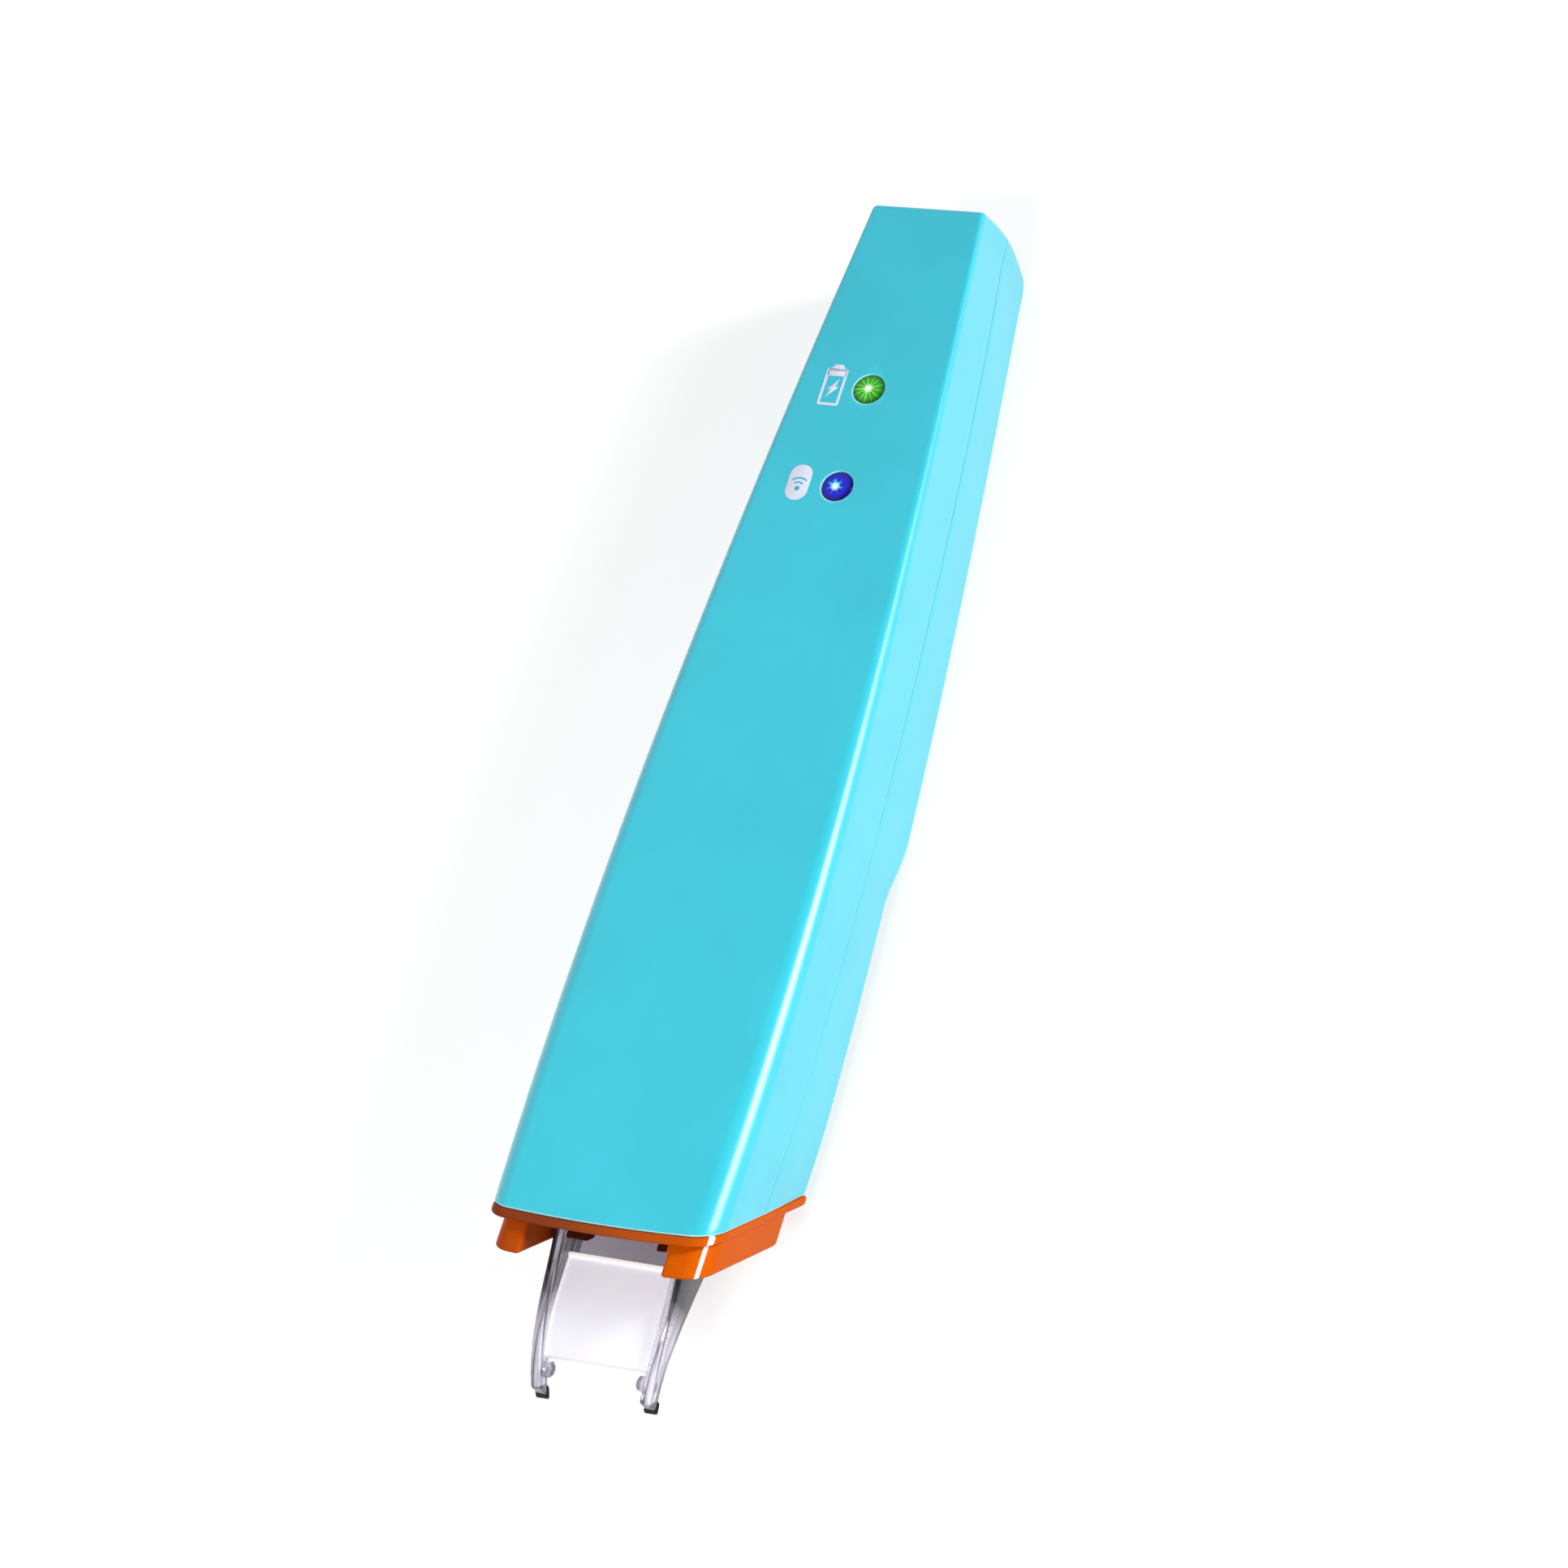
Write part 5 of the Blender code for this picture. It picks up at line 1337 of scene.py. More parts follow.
@dataclass
class ScanTip:
    """Clear two-legged guide with its bridge and bosses, white panel and black feet."""

    reach: float = 15.2 * MM
    axis_depth: float = 9.1 * MM
    drop: float = 3.3 * MM
    root_height: float = 5.8 * MM
    end_height: float = 2.0 * MM
    outer: float = 7.7 * MM
    thickness: float = 1.3 * MM
    converge: float = 0.85 * MM
    lean: Pair = (0.2 * MM, 0.5 * MM)
    root: float = 15.0 * MM
    corner: float = 0.28 * MM
    least_corner: float = 0.02 * MM
    panel_start: float = -1.35 * MM
    panel_end: float = -12.1 * MM
    panel_thickness: float = 0.8 * MM
    bridge_thickness: float = 1.2 * MM
    bridge_back: float = 0.1 * MM
    soft: float = 0.2 * MM
    slack: float = 0.03 * MM
    peg_back: float = 2.05 * MM
    peg_gap: float = 0.02 * MM
    peg_profile: tuple[Pair, ...] = ((0.45 * MM, 0.4 * MM), (0.55 * MM, 0.8 * MM), (0.62 * MM, 0.85 * MM),
                                     (0.7 * MM, 0.85 * MM), (0.85 * MM, 0.7 * MM), (0.9 * MM, 0.0))
    pad_reach: float = 0.24 * MM
    pad_wrap: float = 0.9 * MM
    pad_grow: float = 0.14 * MM
    pad_depth: float = 0.5 * MM
    pad_rim: float = 0.3 * MM
    pad_under: float = 0.15 * MM
    ridge: float = 0.26 * MM
    ridge_corner: float = 0.08 * MM
    ridge_heights: Pair = (1.5 * MM, 1.1 * MM)
    # The clear finish paints shade and a dark reflection at the root.
    clear: ClearPlastic = ClearPlastic("clear_tip_plastic", (0.62, 0.6, 0.69), root_shade=(0.38, 0.36, 0.42))
    # The panel's glow is painted light, brightening it where the nose shades it.
    panel_finish: Moulded = Moulded("panel_plastic", srgb(234, 234, 247), 0.32, mottling=0.012, mottle_scale=160.0,
                                    edge=0.5, edge_gain=1.2, grain_scale=5000.0, grain_depth=0.000002,
                                    subsurface=0.3, glow=0.19)
    # The ridges' glow is painted light, so that they show as white lines.
    ridge_finish: Moulded = Moulded("ridge_plastic", srgb(252, 252, 255), 0.25, mottling=0.01, mottle_scale=200.0,
                                    grain_scale=5000.0, grain_depth=0.000001, glow=0.3)
    pad_finish: Moulded = Moulded("pad_rubber", srgb(14, 14, 15), 0.45, mottling=0.2, edge=0.4, edge_gain=3.0,
                                  grain_depth=0.00002, specular=0.3)

    def middle(self, x: Array) -> Array:
        """Height of the tip's middle line: level at the root, dropping with the fourth power to the feet."""
        return -self.axis_depth - self.drop * np.clip(-x / self.reach, 0.0, 1.05) ** 4

    def leg_height(self, x: Array) -> Array:
        """Height of a leg, which thins towards its foot as a parabola."""
        t = np.clip(-x / self.reach, 0.0, 1.0)
        return self.end_height + (self.root_height - self.end_height) * (1.0 - t) ** 2

    def leg_outer(self, x: Array) -> Array:
        """Y of a leg's outer face, closing in with the cube towards the foot."""
        return self.outer - self.converge * np.clip(-x / self.reach, 0.0, 1.0) ** 3

    def leg_inner(self, x: Array) -> Array:
        """Y of a leg's inner face."""
        return self.leg_outer(x) - self.thickness

    def leaned(self, skin: Skin) -> Skin:
        """A skin with its feet a little askew, as the loose guide stands: sheared with the cube of X."""
        x, y, z = skin.points.T
        share = np.clip(-x / self.reach, 0.0, 1.05) ** 3
        return Skin(np.column_stack([x - self.lean[0] * share * y / self.outer, y + self.lean[1] * share, z]),
                    skin.quads)

    def bar(self, x: Array, near: Array, far: Array, middle: Array, height: Array | float,
            corner: float) -> Skin:
        """Bar along X with a rounded rectangular section that changes from ring to ring.

        Args:
            x: place of each ring.
            near: y of the inner face at each ring.
            far: y of the outer face at each ring.
            middle: height of the middle at each ring.
            height: height of the section, for all rings or at each.
            corner: radius of the section's corners and of the two end rims.

        Returns:
            The closed skin.
        """
        turn, shrink = quarter(5), fillet(corner, 5)[1]
        ends = np.concatenate([shrink, np.zeros(len(x) - 2 * len(shrink)), shrink[::-1]])
        half_y = ((far - near) / 2.0 - ends)[:, None]
        half_z = (height / 2.0 - ends)[:, None]
        angle = (np.arange(4)[:, None] * np.pi / 2.0 + turn).ravel()
        cosine, sine = np.cos(angle), np.sin(angle)
        sign_y, sign_z = np.repeat([1, -1, -1, 1], len(turn)), np.repeat([1, 1, -1, -1], len(turn))
        round_off = np.maximum(corner - ends, self.least_corner)[:, None]
        y = ((near + far) / 2.0)[:, None] + sign_y * (half_y - round_off) + round_off * cosine
        z = middle[:, None] + sign_z * (half_z - round_off) + round_off * sine
        return lofted(np.stack([np.broadcast_to(x[:, None], y.shape), y, z], axis=2))

    def stations(self, start: float, end: float, corner: float, count: int) -> Array:
        """Places of a bar's rings: a quarter circle at each end and even steps between."""
        rim = fillet(corner, 5)[0]
        return np.concatenate([start + rim, np.linspace(start + corner, end - corner, count)[1:-1],
                               (end - rim)[::-1]])

    def legs(self) -> Skin:
        """Left leg with its boss, and the right leg as its mirror."""
        x = self.stations(-self.reach, self.root, self.corner, 90)
        leg = self.bar(x, self.leg_inner(x), self.leg_outer(x), self.middle(x), self.leg_height(x), self.corner)
        peg_x = self.peg_back - self.reach
        face = self.leg_inner(peg_x)
        peg = turned_rod((peg_x, face - self.peg_gap, self.middle(peg_x)), (0, -1, 0), self.peg_profile, 40)
        half = leg + peg
        return half + half.mirrored()

    def bridge(self) -> Skin:
        """Clear plate between the legs, from the panel back into the carriage."""
        x = self.stations(self.panel_start + self.bridge_back, self.root, self.soft, 30)
        half = np.full(len(x), self.outer - self.thickness - self.slack)
        return self.sheet(x, half, self.bridge_thickness, self.soft)

    def build(self) -> None:
        """Make the clear moulding, the panel and the two pads, and dress them."""
        dress("guide_legs", self.leaned(self.legs()) + self.bridge(), self.clear.build(), Body.TIP,
              Slot.CLEAR_PLASTIC, "clear_tip")
        x = self.stations(self.panel_end, self.panel_start, self.soft, 50)
        half = self.leg_inner(x) - self.slack
        panel = self.sheet(x, half, self.panel_thickness, self.soft)
        dress("white_panel", self.leaned(panel), self.panel_finish.build(), Body.TIP, Slot.WHITE_PLASTIC,
              "reflector_panel")
        dress("panel_ridges", self.leaned(self.ridges()), self.ridge_finish.build(), Body.TIP, Slot.WHITE_PLASTIC)
        material = self.pad_finish.build()
        for name, node, side in (("left_pad", "left_foot", 1), ("right_pad", "right_foot", -1)):
            dress(name, self.leaned(self.pad().on_side(side)), material, Body.TIP, Slot.BLACK_RUBBER, node)

    def sheet(self, x: Array, half: Array, thickness: float, corner: float) -> Skin:
        """Level bar across the middle plane, as thick everywhere."""
        return self.bar(x, -half, half, self.middle(x), thickness, corner)

    def ridges(self) -> Skin:
        """Low white ridges along the panel's root and both its sides."""
        corner = self.ridge_corner
        x = self.stations(self.panel_start - self.ridge, self.panel_start + 2.0 * corner, corner, 8)
        root = self.sheet(x, self.leg_inner(x), self.ridge_heights[0], corner)
        x = self.stations(self.panel_end, self.panel_start, corner, 50)
        half = self.leg_inner(x)
        side = self.bar(x, half - self.ridge, half, self.middle(x), self.ridge_heights[1], corner)
        return root + side + side.mirrored()

    def pad(self) -> Skin:
        """Rubber pad under the foot of the left leg: a strip that follows its underside and end."""
        x = self.stations(-self.reach - self.pad_reach, -self.reach + self.pad_wrap, self.pad_rim, 24)
        low = self.middle(x) - self.leg_height(x) / 2.0 - self.pad_under
        return self.bar(x, self.leg_inner(x) - self.pad_grow, self.leg_outer(x) + self.pad_grow,
                        low + self.pad_depth / 2.0, self.pad_depth, self.soft)


# --------------------------------------------------------------------------- small parts


@dataclass
class PowerButton:
    """Stadium cap in the left wall, with a small dished face, that moves with its own body."""

    centre_x: float = 105.2 * MM
    depth: float = 6.5 * MM
    length: float = 7.6 * MM
    height: float = 2.0 * MM
    proud: float = 0.58 * MM
    flange: float = -2.0 * MM
    flange_thick: float = 0.55 * MM
    brim: float = 0.5 * MM
    soft: float = 0.4 * MM
    dish: tuple[Pair, ...] = ((0.62 * MM, 0.04 * MM), (0.8 * MM, 0.09 * MM))

    def build(self, finish: Moulded) -> None:
        """Make the cap: a flange inside the wall, a waist, a rounded rim and a dished face.

        Args:
            finish: the collar's orange plastic, with its painted shade on the left side.
        """
        rings = []
        brim = -self.brim
        steps = [(brim, self.flange - self.flange_thick), (brim, self.flange), (0.0, self.flange)]
        steps += [(inset, self.proud - sunk) for inset, sunk in [*zip(*fillet(self.soft, 7)), *self.dish]]
        for inset, out in steps:
            outline = stadium(self.centre_x, -self.depth, self.length - 2 * inset, self.height - 2 * inset, 16)
            rings.append(np.column_stack([outline[:, 0], HULL.half_width(outline[:, 0]) + out, outline[:, 1]]))
        dress("power_cap", lofted(rings), finish.build(), Body.BUTTON, Slot.COLLAR_ORANGE, "power_button")


@dataclass
class ChargingInlet:
    """Rolled steel shell in the tail with rounded corners, and the plastic insert with its contacts."""

    half: float = 3.75 * MM
    top: float = -5.5 * MM
    bottom: float = -8.1 * MM
    sheet: float = 0.3 * MM
    start: float = 117.2 * MM
    end: float = 122.8 * MM
    corner: float = 0.8 * MM
    least_corner: float = 0.2 * MM
    fit: float = 0.05 * MM
    tongue_corner: float = 0.15 * MM
    base_span: Pair = (117.6 * MM, 119.0 * MM)
    tongue: Triple = (2.7 * MM, -7.1 * MM, -6.5 * MM)
    tongue_steps: tuple[Pair, ...] = ((0.0, 118.9 * MM), (0.0, 121.2 * MM), (0.1 * MM, 121.35 * MM))
    contact_half: float = 0.18 * MM
    contact_round: float = 0.02 * MM
    contact_proud: float = 0.05 * MM
    contact_reach: float = 2.0 * MM
    contact_span: Pair = (119.0 * MM, 121.0 * MM)
    contact_finish: Metal = Metal("contact_gold", (0.85, 0.62, 0.25), 0.25)
    shell_finish: Metal = Metal("inlet_steel", (0.62, 0.61, 0.59), 0.22)
    insert_finish: Moulded = Moulded("inlet_plastic", srgb(30, 30, 32), 0.45, mottling=0.15, grain_depth=0.00001)

    def outline(self, inset: float) -> Array:
        """Rounded rectangle in Y and Z, drawn in by inset."""
        half = self.half - inset
        return box_outline((-half, half), (self.bottom + inset, self.top - inset),
                           max(self.corner - inset, self.least_corner))

    def build(self) -> None:
        """Make the shell with its rolled mouth, and the tongue with five contacts."""
        roll = self.sheet / 2.0
        steps = [(0.0, self.start)]
        steps += [(roll - roll * math.cos(a), self.end - roll + roll * math.sin(a))
                  for a in np.linspace(0, np.pi, 9)]
        steps += [(self.sheet, self.start + self.sheet)]
        rings = [at_x(self.outline(inset), x) for inset, x in steps]
        dress("inlet_shell", lofted(rings), self.shell_finish.build(), Body.CASING, Slot.STEEL, "usb_shell")
        base = self.outline(self.sheet + self.fit)
        half, low, high = self.tongue
        tongue = box_outline((-half, half), (low, high), self.tongue_corner, 4)
        skin = (lofted([at_x(base, x) for x in self.base_span])
                + lofted([at_x(inwards(tongue, inset), x) for inset, x in self.tongue_steps]))
        dress("inlet_tongue", skin, self.insert_finish.build(), Body.CASING, Slot.BLACK_PLASTIC, "usb_insert")
        width, soft = self.contact_half, self.contact_round
        bars = [box_outline((y - width, y + width), (low - self.contact_proud, low + soft), soft, 2)
                for y in np.linspace(-self.contact_reach, self.contact_reach, 5)]
        contacts = joined(lofted([at_x(bar, x) for x in self.contact_span]) for bar in bars)
        dress("inlet_contacts", contacts, self.contact_finish.build(), Body.CASING, Slot.STEEL)


@dataclass
class Fasteners:
    """The four cover screws, with crowned heads and cross recesses, seen up the counterbores."""

    head: float = 1.28 * MM
    height: float = 0.98 * MM
    sunk: float = 1.6 * MM
    shank: float = 0.6 * MM
    arm: float = 0.8 * MM
    width: float = 0.28 * MM
    slot: float = 0.5 * MM
    crown: float = 0.2 * MM
    length: float = 3.0 * MM
    finish: Metal = Metal("screw_steel", (0.5, 0.5, 0.49), 0.25, (2500.0, 2500.0, 40.0))

    def build(self, places: list[Pair]) -> None:
        """Make each screw in its counterbore.

        Args:
            places: x and y of the front right, front left, rear right and rear left screw.
        """
        material = self.finish.build()
        names = ("front_right_screw", "front_left_screw", "rear_right_screw", "rear_left_screw")
        for (x, y), node in zip(places, names):
            face = self.sunk - HULL.underside(x)
            crown = [(self.head * math.sin(a), face + self.crown * (1 - math.cos(a)))
                     for a in np.linspace(0.02, np.pi / 2.0, 8)]
            under = face + self.height
            profile = [*crown, (self.head, under), (self.shank, under), (self.shank, under + self.length)]
            screw = make_piece(node.replace("screw", "fixing"), turned_rod((x, y, 0.0), UP, profile, 40), material)
            for reach in ((self.arm, self.width / 2), (self.width / 2, self.arm)):
                corners = np.array([(1, 1), (-1, 1), (-1, -1), (1, -1)]) * reach + (x, y)
                carve(screw, prism(corners, face - self.slot, face + self.slot))
            place(screw, Body.CASING, Slot.STEEL, node)


# --------------------------------------------------------------------------- indicators and marks


@dataclass
class Indicator:
    """One round window: a low dome over a lit star."""

    node: str
    glow: Glow
    slot: Slot
    rise: float = 0.1 * MM
    proud: float = 0.02 * MM
    sweep: float = 1.5
    barrel: Pair = (-1.75 * MM, -0.1 * MM)
    foot: tuple[Pair, ...] = ((1.1 * MM, -2.9 * MM), (1.1 * MM, -2.1 * MM), (2.45 * MM, -2.1 * MM),
                              (2.45 * MM, -1.75 * MM))

    def build(self) -> None:
        """Make the light pipe: foot, rim inside the cover, and domed face."""
        radius = self.glow.radius
        dome = [(radius * math.cos(a), self.proud + self.rise * math.sin(a)) for a in np.linspace(0, self.sweep, 14)]
        profile = [*self.foot, *((radius, z) for z in self.barrel), *dome]
        dress(self.node.replace("pipe", "window"), turned_rod((self.glow.centre, 0.0, 0.0), UP, profile, 72),
              self.glow.build(), Body.CASING, self.slot, self.node)


@dataclass(frozen=True)
class Ink:
    """Thin layer of print on the flat top face; its outlines are x and y in millimetres."""

    sunk: float
    thick: float
    soft: float = 0.008 * MM

    def slab(self, outline: Array) -> Skin:
        """Closed slab of ink over an outline."""
        return prism(outline * MM, -self.sunk, self.thick, self.soft, 2)

    def stroke(self, points: Array, width: float, closed: bool = False) -> Skin:
        """Line of ink of one width along points, with mitred bends.

        Args:
            points: the line's middle.
            width: width of the line in metres.
            closed: whether the last point joins the first.

        Returns:
            The closed skin of the line.
        """
        path = points * MM
        before, after = np.roll(path, 1, axis=0), np.roll(path, -1, axis=0)
        if not closed:
            before[0], after[-1] = 2 * path[0] - path[1], 2 * path[-1] - path[-2]
        into = unit(path - before)
        way = unit(into + unit(after - path))
        normal = np.stack([-way[:, 1], way[:, 0]], axis=1)
        reach = width / 2.0 / np.clip((into * way).sum(axis=1, keepdims=True), 0.4, 1.0)
        left, right = path + normal * reach, path - normal * reach
        rows = np.stack([at_z(left, -self.sunk), at_z(left, self.thick), at_z(right, self.thick),
                         at_z(right, -self.sunk)], axis=1)
        return grid_skin(rows, closed_rows=True) if closed else lofted(rows)


@dataclass
class Marks:
    """Raised pad print on the top face: a battery sign and a pill that holds a signal sign."""

    print_ink: Ink = Ink(0.03 * MM, 0.02 * MM)
    sign_ink: Ink = Ink(0.0, 0.03 * MM)
    battery: tuple[Pair, Pair] = ((96.25, 100.58), (3.2, 5.42))
    pole: tuple[Pair, ...] = ((99.8, 3.2), (100.6, 3.2), (100.88, 3.6), (101.24, 3.85), (101.24, 4.85),
                              (100.88, 5.0), (100.6, 5.4), (99.8, 5.4))
    bolt: tuple[Pair, ...] = ((99.5, 3.8), (98.62, 4.38), (98.1, 5.0), (98.2, 4.5), (97.0, 4.86), (97.8, 4.2),
                              (98.42, 3.62), (98.4, 4.02))
    battery_round: float = 0.14
    battery_line: float = 0.3 * MM
    pill: tuple[Pair, Pair] = ((84.1, 88.5), (3.3, 5.9))
    pill_round: float = 1.26
    wave_line: float = 0.2 * MM
    centre: Pair = (85.55, 4.58)
    spot: float = 0.3
    waves: tuple[float, ...] = (0.75, 1.3)
    fan: float = 0.72
    finish: Moulded = Moulded("print_ink", srgb(222, 228, 246), 0.42, mottling=0.03, mottle_scale=900.0, edge=0.1,
                              grain_scale=9000.0, grain_depth=0.000004)
    sign_finish: Moulded = Moulded("sign_ink", srgb(70, 170, 190), 0.42)

    def arc(self, radius: float, angles: Array) -> Array:
        """Points of a circle about the signal sign's centre."""
        return self.centre + radius * np.stack([np.cos(angles), np.sin(angles)], axis=1)

    def build(self) -> None:
        """Make every mark and dress them as two prints."""
        ink = self.print_ink
        skin = ink.stroke(box_outline(*self.battery, self.battery_round, 6), self.battery_line, True)
        skin += joined(ink.slab(outline) for outline in (np.array(self.pole), np.array(self.bolt),
                                                         box_outline(*self.pill, self.pill_round, 6)))
        dress("face_marks", skin, self.finish.build(), Body.CASING, Slot.WHITE_PLASTIC, sharp=40.0)
        skin = self.sign_ink.slab(self.arc(self.spot, circle(24)))
        fan = np.linspace(-self.fan, self.fan, 13)
        skin += joined(self.sign_ink.stroke(self.arc(reach, fan), self.wave_line) for reach in self.waves)
        dress("signal_mark", skin, self.sign_finish.build(), Body.CASING, Slot.CASE_BLUE, sharp=40.0)


# --------------------------------------------------------------------------- inside, and studio


@dataclass
class TipSprings:
    """Two coil springs between the tip's carriage and the optics, which in the pen shorten as the tip is pressed; here
    they keep their free length.
    """

    start: float = 18.06 * MM
    end: float = 23.94 * MM
    pressed: float = 4.38 * MM
    side: float = 8.883 * MM
    level: float = -9.1 * MM
    coil: float = 0.95 * MM
    wire: float = 0.145 * MM
    turns: int = 8
    closed: float = 0.6
    dense: float = 0.38
    finish: Metal = Metal("spring_steel", (0.6, 0.6, 0.6), 0.22, (1500.0, 1500.0, 1500.0))

    def skin(self) -> Skin:
        """Left spring: a tube on a helix whose first and last turns lie closed."""
        turn = np.linspace(0.0, self.turns, 28 * self.turns + 1)
        spread = eased(turn / self.closed - 1.0) * eased((self.turns - turn) / self.closed - 1.0)
        advance = np.cumsum(self.dense + (1.0 - self.dense) * spread)
        share = (advance - advance[0]) / (advance[-1] - advance[0])
        x = self.start + self.wire + (self.end - self.start - 2.0 * self.wire) * share
        angle = 2.0 * np.pi * turn
        out = np.column_stack([np.zeros_like(turn), np.cos(angle), np.sin(angle)])
        line = np.column_stack([x, np.full_like(x, self.side), np.full_like(x, self.level)]) + self.coil * out
        along = np.gradient(line, axis=0)
        over = unit(np.cross(along, out))
        ring = circle(12)[None, :, None]
        grid = line[:, None, :] + self.wire * (np.cos(ring) * out[:, None, :] + np.sin(ring) * over[:, None, :])
        return lofted(grid)

    def build(self) -> None:
        """Make both springs, each riding on the casing with a mesh of its own."""
        material = self.finish.build()
        for name, node, side in (("left_coil", "left_tip_spring", 1), ("right_coil", "right_tip_spring", -1)):
            spring = dress(name, self.skin().on_side(side), material, Body.CASING, Slot.STEEL, node)
            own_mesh(spring)


@dataclass
class Interior:
    """Finishes of the CAD nodes that stay as they are, inside the covers."""

    def finishes(self) -> dict[str, Any]:
        """Each finish by the nodes that have it.

        Returns:
            Node names, separated by spaces, to a finish.
        """
        return {
            "tip_carriage tip_switch_body power_switch_body flex_socket battery_header":
                Moulded("black_nylon", srgb(34, 34, 36), 0.5, mottling=0.15, edge=0.5, edge_gain=2.2),
            "optics_chassis lens_barrel":
                Moulded("matt_black", srgb(22, 22, 24), 0.65, mottling=0.2, edge=0.4, edge_gain=2.5,
                        grain_depth=0.00003),
            "image_sensor processor_chip memory_chip":
                Moulded("chip_resin", srgb(40, 41, 44), 0.42, mottling=0.1, mottle_scale=800.0, edge=0.4,
                        edge_gain=2.0, grain_scale=9000.0, grain_depth=0.00001),
            "optics_window imaging_lens": ClearPlastic("optical_glass", (0.94, 0.97, 1.0), 1.5, 0.01),
            "battery_plug": Moulded("plug_nylon", srgb(236, 232, 220), 0.4),
            "left_lamp right_lamp":
                Moulded("lamp_phosphor", srgb(238, 226, 150), 0.35, mottling=0.1, mottle_scale=1500.0),
            "battery_lead_black": Moulded("lead_black", srgb(24, 24, 26), 0.38, edge=0.3, edge_gain=2.0),
            "battery_lead_red": Moulded("lead_red", srgb(190, 28, 30), 0.38),
            "tip_switch_plunger power_switch_plunger clock_crystal radio_module left_board_screw right_board_screw":
                Metal("plated_steel", (0.66, 0.65, 0.62), 0.26),
            "main_board sensor_board lamp_board protection_board":
                Printed("board_lacquer", srgb(22, 92, 58), srgb(60, 140, 84), 0.7 * MM),
            "front_flex sensor_ribbon": Printed("flex_film", srgb(200, 120, 30), srgb(226, 160, 70), 0.5 * MM, 0.28),
            "battery": Foil("pouch_foil", (0.62, 0.63, 0.65), 0.32, 0.9, 260.0, 0.0001),
            "battery_foam": Foil("open_foam", srgb(74, 74, 78), 0.85, 0.0, 2600.0, 0.0003),
            "charge_led": Glow("green_led", srgb(40, 150, 60), srgb(90, 220, 110), srgb(190, 255, 190),
                               WINDOWS[0], 1.2 * MM, 6.0, (0.4, 0.5, 0.4), (0.0, 0.0), 0.3),
            "link_led": Glow("blue_led", srgb(20, 60, 190), srgb(60, 130, 240), srgb(170, 220, 255),
                             WINDOWS[1], 1.2 * MM, 6.0, (0.4, 0.5, 0.4), (0.0, 0.0), 0.3),
        }

    def build(self) -> None:
        """Put each finish on its nodes' material slots."""
        for names, finish in self.finishes().items():
            material = finish.build()
            for name in names.split():
                for slot in bpy.data.objects[name].material_slots:
                    slot.material = material
            LOG.info("%s: dressed as %s", names, finish.name)


def aim(data: bpy.types.ID, axes: Sequence[Array], spot: Array) -> Piece:
    """Put a lamp or camera at a spot, with its own X, Y and Z along three axes.

    Args:
        data: the lamp or camera.
        axes: the three axes.
        spot: the point.

    Returns:
        The object that holds it.
    """
    holder = bpy.data.objects.new(data.name, data)
    holder.matrix_world = Matrix.Translation(tuple(spot)) @ Matrix(np.column_stack(axes).tolist()).to_4x4()
    bpy.context.scene.collection.objects.link(holder)
    return holder


@dataclass
class Softbox:
    """Oblong area lamp, its length along the pen, that adds a level of light to a surface facing it."""

    name: str
    toward: Triple
    level: float
    length: float
    width: float
    distance: float = 0.6

    def build(self, target: Array) -> None:
        """Hang the lamp: energy is level times pi squared times the distance squared.

        Args:
            target: the point that it is aimed at.
        """
        way = unit(np.array(self.toward))
        lamp = bpy.data.lights.new(self.name, "AREA")
        lamp.shape, lamp.size, lamp.size_y = "RECTANGLE", self.length, self.width
        lamp.energy = self.level * math.pi ** 2 * self.distance ** 2
        across = unit(np.cross(way, (1.0, 0.0, 0.0)))
        aim(lamp, (np.cross(across, way), across, way), target + way * self.distance)


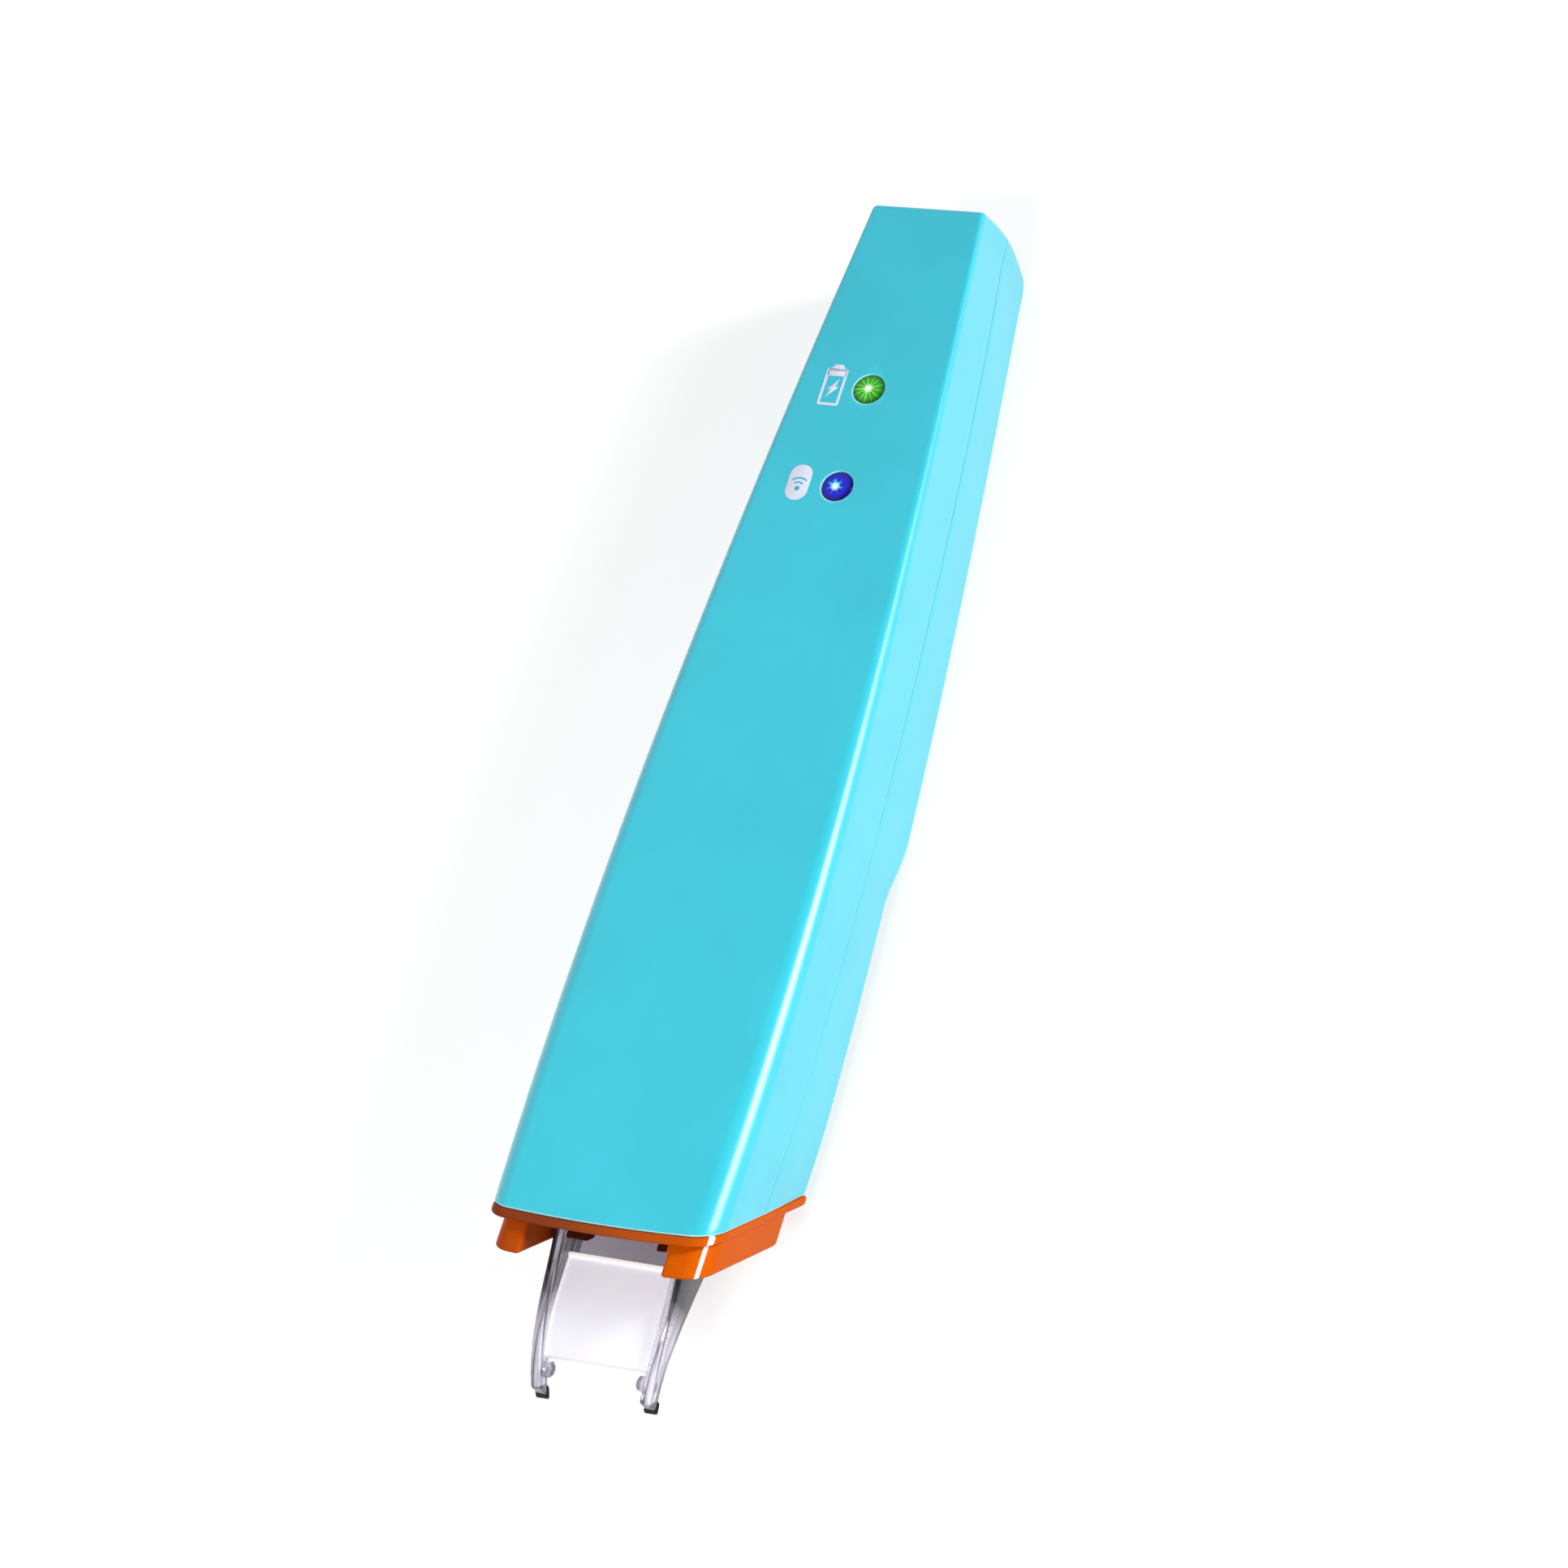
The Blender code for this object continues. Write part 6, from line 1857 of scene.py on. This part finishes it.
@dataclass
class Studio:
    """Pale floor, soft room light, softboxes and the camera at the photograph's place."""

    room: float = 0.24
    floor_colour: float = 0.6
    floor_lift: float = 0.56
    focal: float = 6648.7 / 1932.0 * 36.0
    eye: Triple = (-165.4 * MM, -243.5 * MM, 462.9 * MM)
    right: Triple = (0.2844, -0.8997, -0.3310)
    up: Triple = (0.8789, 0.1068, 0.4649)
    boxes: tuple[Softbox, ...] = (Softbox("key_box", (0.33, -0.87, 0.34), 0.76, 0.2, 0.46, 0.9),
                                  Softbox("edge_box", (0.35, -0.82, 0.4), 0.26, 0.26, 0.18, 0.9),
                                  Softbox("front_box", (-0.6, 0.0, 0.78), 0.52, 0.2, 0.2, 0.45),
                                  Softbox("rim_box", (0.2, 0.85, 0.5), 0.3, 1.2, 1.2, 0.8))

    def build(self) -> None:
        """Build the room, the lamps and the camera."""
        scene = bpy.context.scene
        scene.view_settings.view_transform = "Standard"
        low, high = (np.array(corner) for corner in CAD_BOX)
        middle = (low + high) / 2.0
        for box in self.boxes:
            box.build(middle)
        self.world()
        self.floor(float(low[2]))
        lens = bpy.data.cameras.new("photo_camera")
        lens.sensor_width, lens.lens = 36.0, self.focal
        lens.clip_start, lens.clip_end = 0.01, 20.0
        right, up = PEN.turned(np.array([self.right, self.up]))
        scene.camera = aim(lens, (right, up, np.cross(right, up)), PEN.placed(np.array(self.eye)))

    def world(self) -> None:
        """Room light: a plain level for the object, white for the camera and a soft fade in gloss."""
        world = bpy.data.worlds.new("room")
        bpy.context.scene.world = world
        world.use_nodes = True
        maker = TreeMaker(world.node_tree)
        height = maker.add("ShaderNodeSeparateXYZ")
        maker.join(maker.add("ShaderNodeTexCoord").outputs["Generated"], height.inputs[0])
        fade = maker.spread(height.outputs[2], (0.25, 0.8), (0.7, 0.35))
        seen = maker.add("ShaderNodeLightPath").outputs
        level = maker.mixed(maker.sharp_rays(seen), self.room, fade)
        glow = maker.add("ShaderNodeBackground")
        maker.join(maker.mixed(seen["Is Camera Ray"], level, 1.0), glow.inputs["Strength"])
        maker.join(glow.outputs[0], maker.add("ShaderNodeOutputWorld").inputs["Surface"])

    def floor(self, height: float) -> None:
        """Round floor under the object: matt white, lifted for the camera until it is just white.

        Args:
            height: the level on which the object stands.
        """
        work = bmesh.new()
        bmesh.ops.create_circle(work, cap_ends=True, segments=96, radius=3.0)
        bmesh.ops.translate(work, verts=work.verts[:], vec=(0.0, 0.0, height - 0.0001))
        mesh = bpy.data.meshes.new("floor")
        work.to_mesh(mesh)
        work.free()
        maker = NodeMaker("floor_white")
        for name, value in (("Base Color", (self.floor_colour,) * 3 + (1.0,)), ("Roughness", 0.9),
                            ("Specular IOR Level", 0.0), ("Emission Color", WHITE)):
            maker.shade(name, value)
        seen = maker.add("ShaderNodeLightPath").outputs
        shown = maker.step("MAXIMUM", seen["Is Camera Ray"], maker.sharp_rays(seen))
        reach = maker.add("ShaderNodeVectorMath", operation="LENGTH")
        maker.join(maker.spot, reach.inputs[0])
        lift = maker.spread(reach.outputs["Value"], (0.15, 1.0), (self.floor_lift, 0.9))
        maker.shade("Emission Strength", maker.times(shown, lift))
        mesh.materials.append(maker.material)
        floor = bpy.data.objects.new("floor", mesh)
        bpy.context.scene.collection.objects.link(floor)


def main() -> None:
    """Build every piece, the finishes and the studio."""
    logging.basicConfig(level=logging.INFO, format="%(name)s: %(message)s")
    casing, collar = Casing(), Collar()
    casing.build()
    collar.build()
    ScanTip().build()
    PowerButton().build(collar.finish)
    ChargingInlet().build()
    Fasteners().build(casing.screw_places())
    green = Glow("green_window", srgb(0, 92, 14), srgb(40, 150, 12), srgb(140, 235, 100), WINDOWS[0], 1.74 * MM,
                 13.0, (0.12, 0.95, 0.85), (0.03 * MM, 0.06 * MM), 0.36)
    blue = Glow("blue_window", srgb(0, 0, 96), srgb(0, 2, 190), srgb(10, 215, 238), WINDOWS[1], 1.74 * MM, 7.0,
                (0.3, 0.34, 0.42), (-0.08 * MM, 0.18 * MM), 0.34, stray=14.0)
    Indicator("charge_light_pipe", green, Slot.GREEN_GLOW).build()
    Indicator("link_light_pipe", blue, Slot.BLUE_GLOW).build()
    for part in (Marks(), TipSprings(), Interior(), Studio()):
        part.build()


if __name__ == "__main__":
    main()
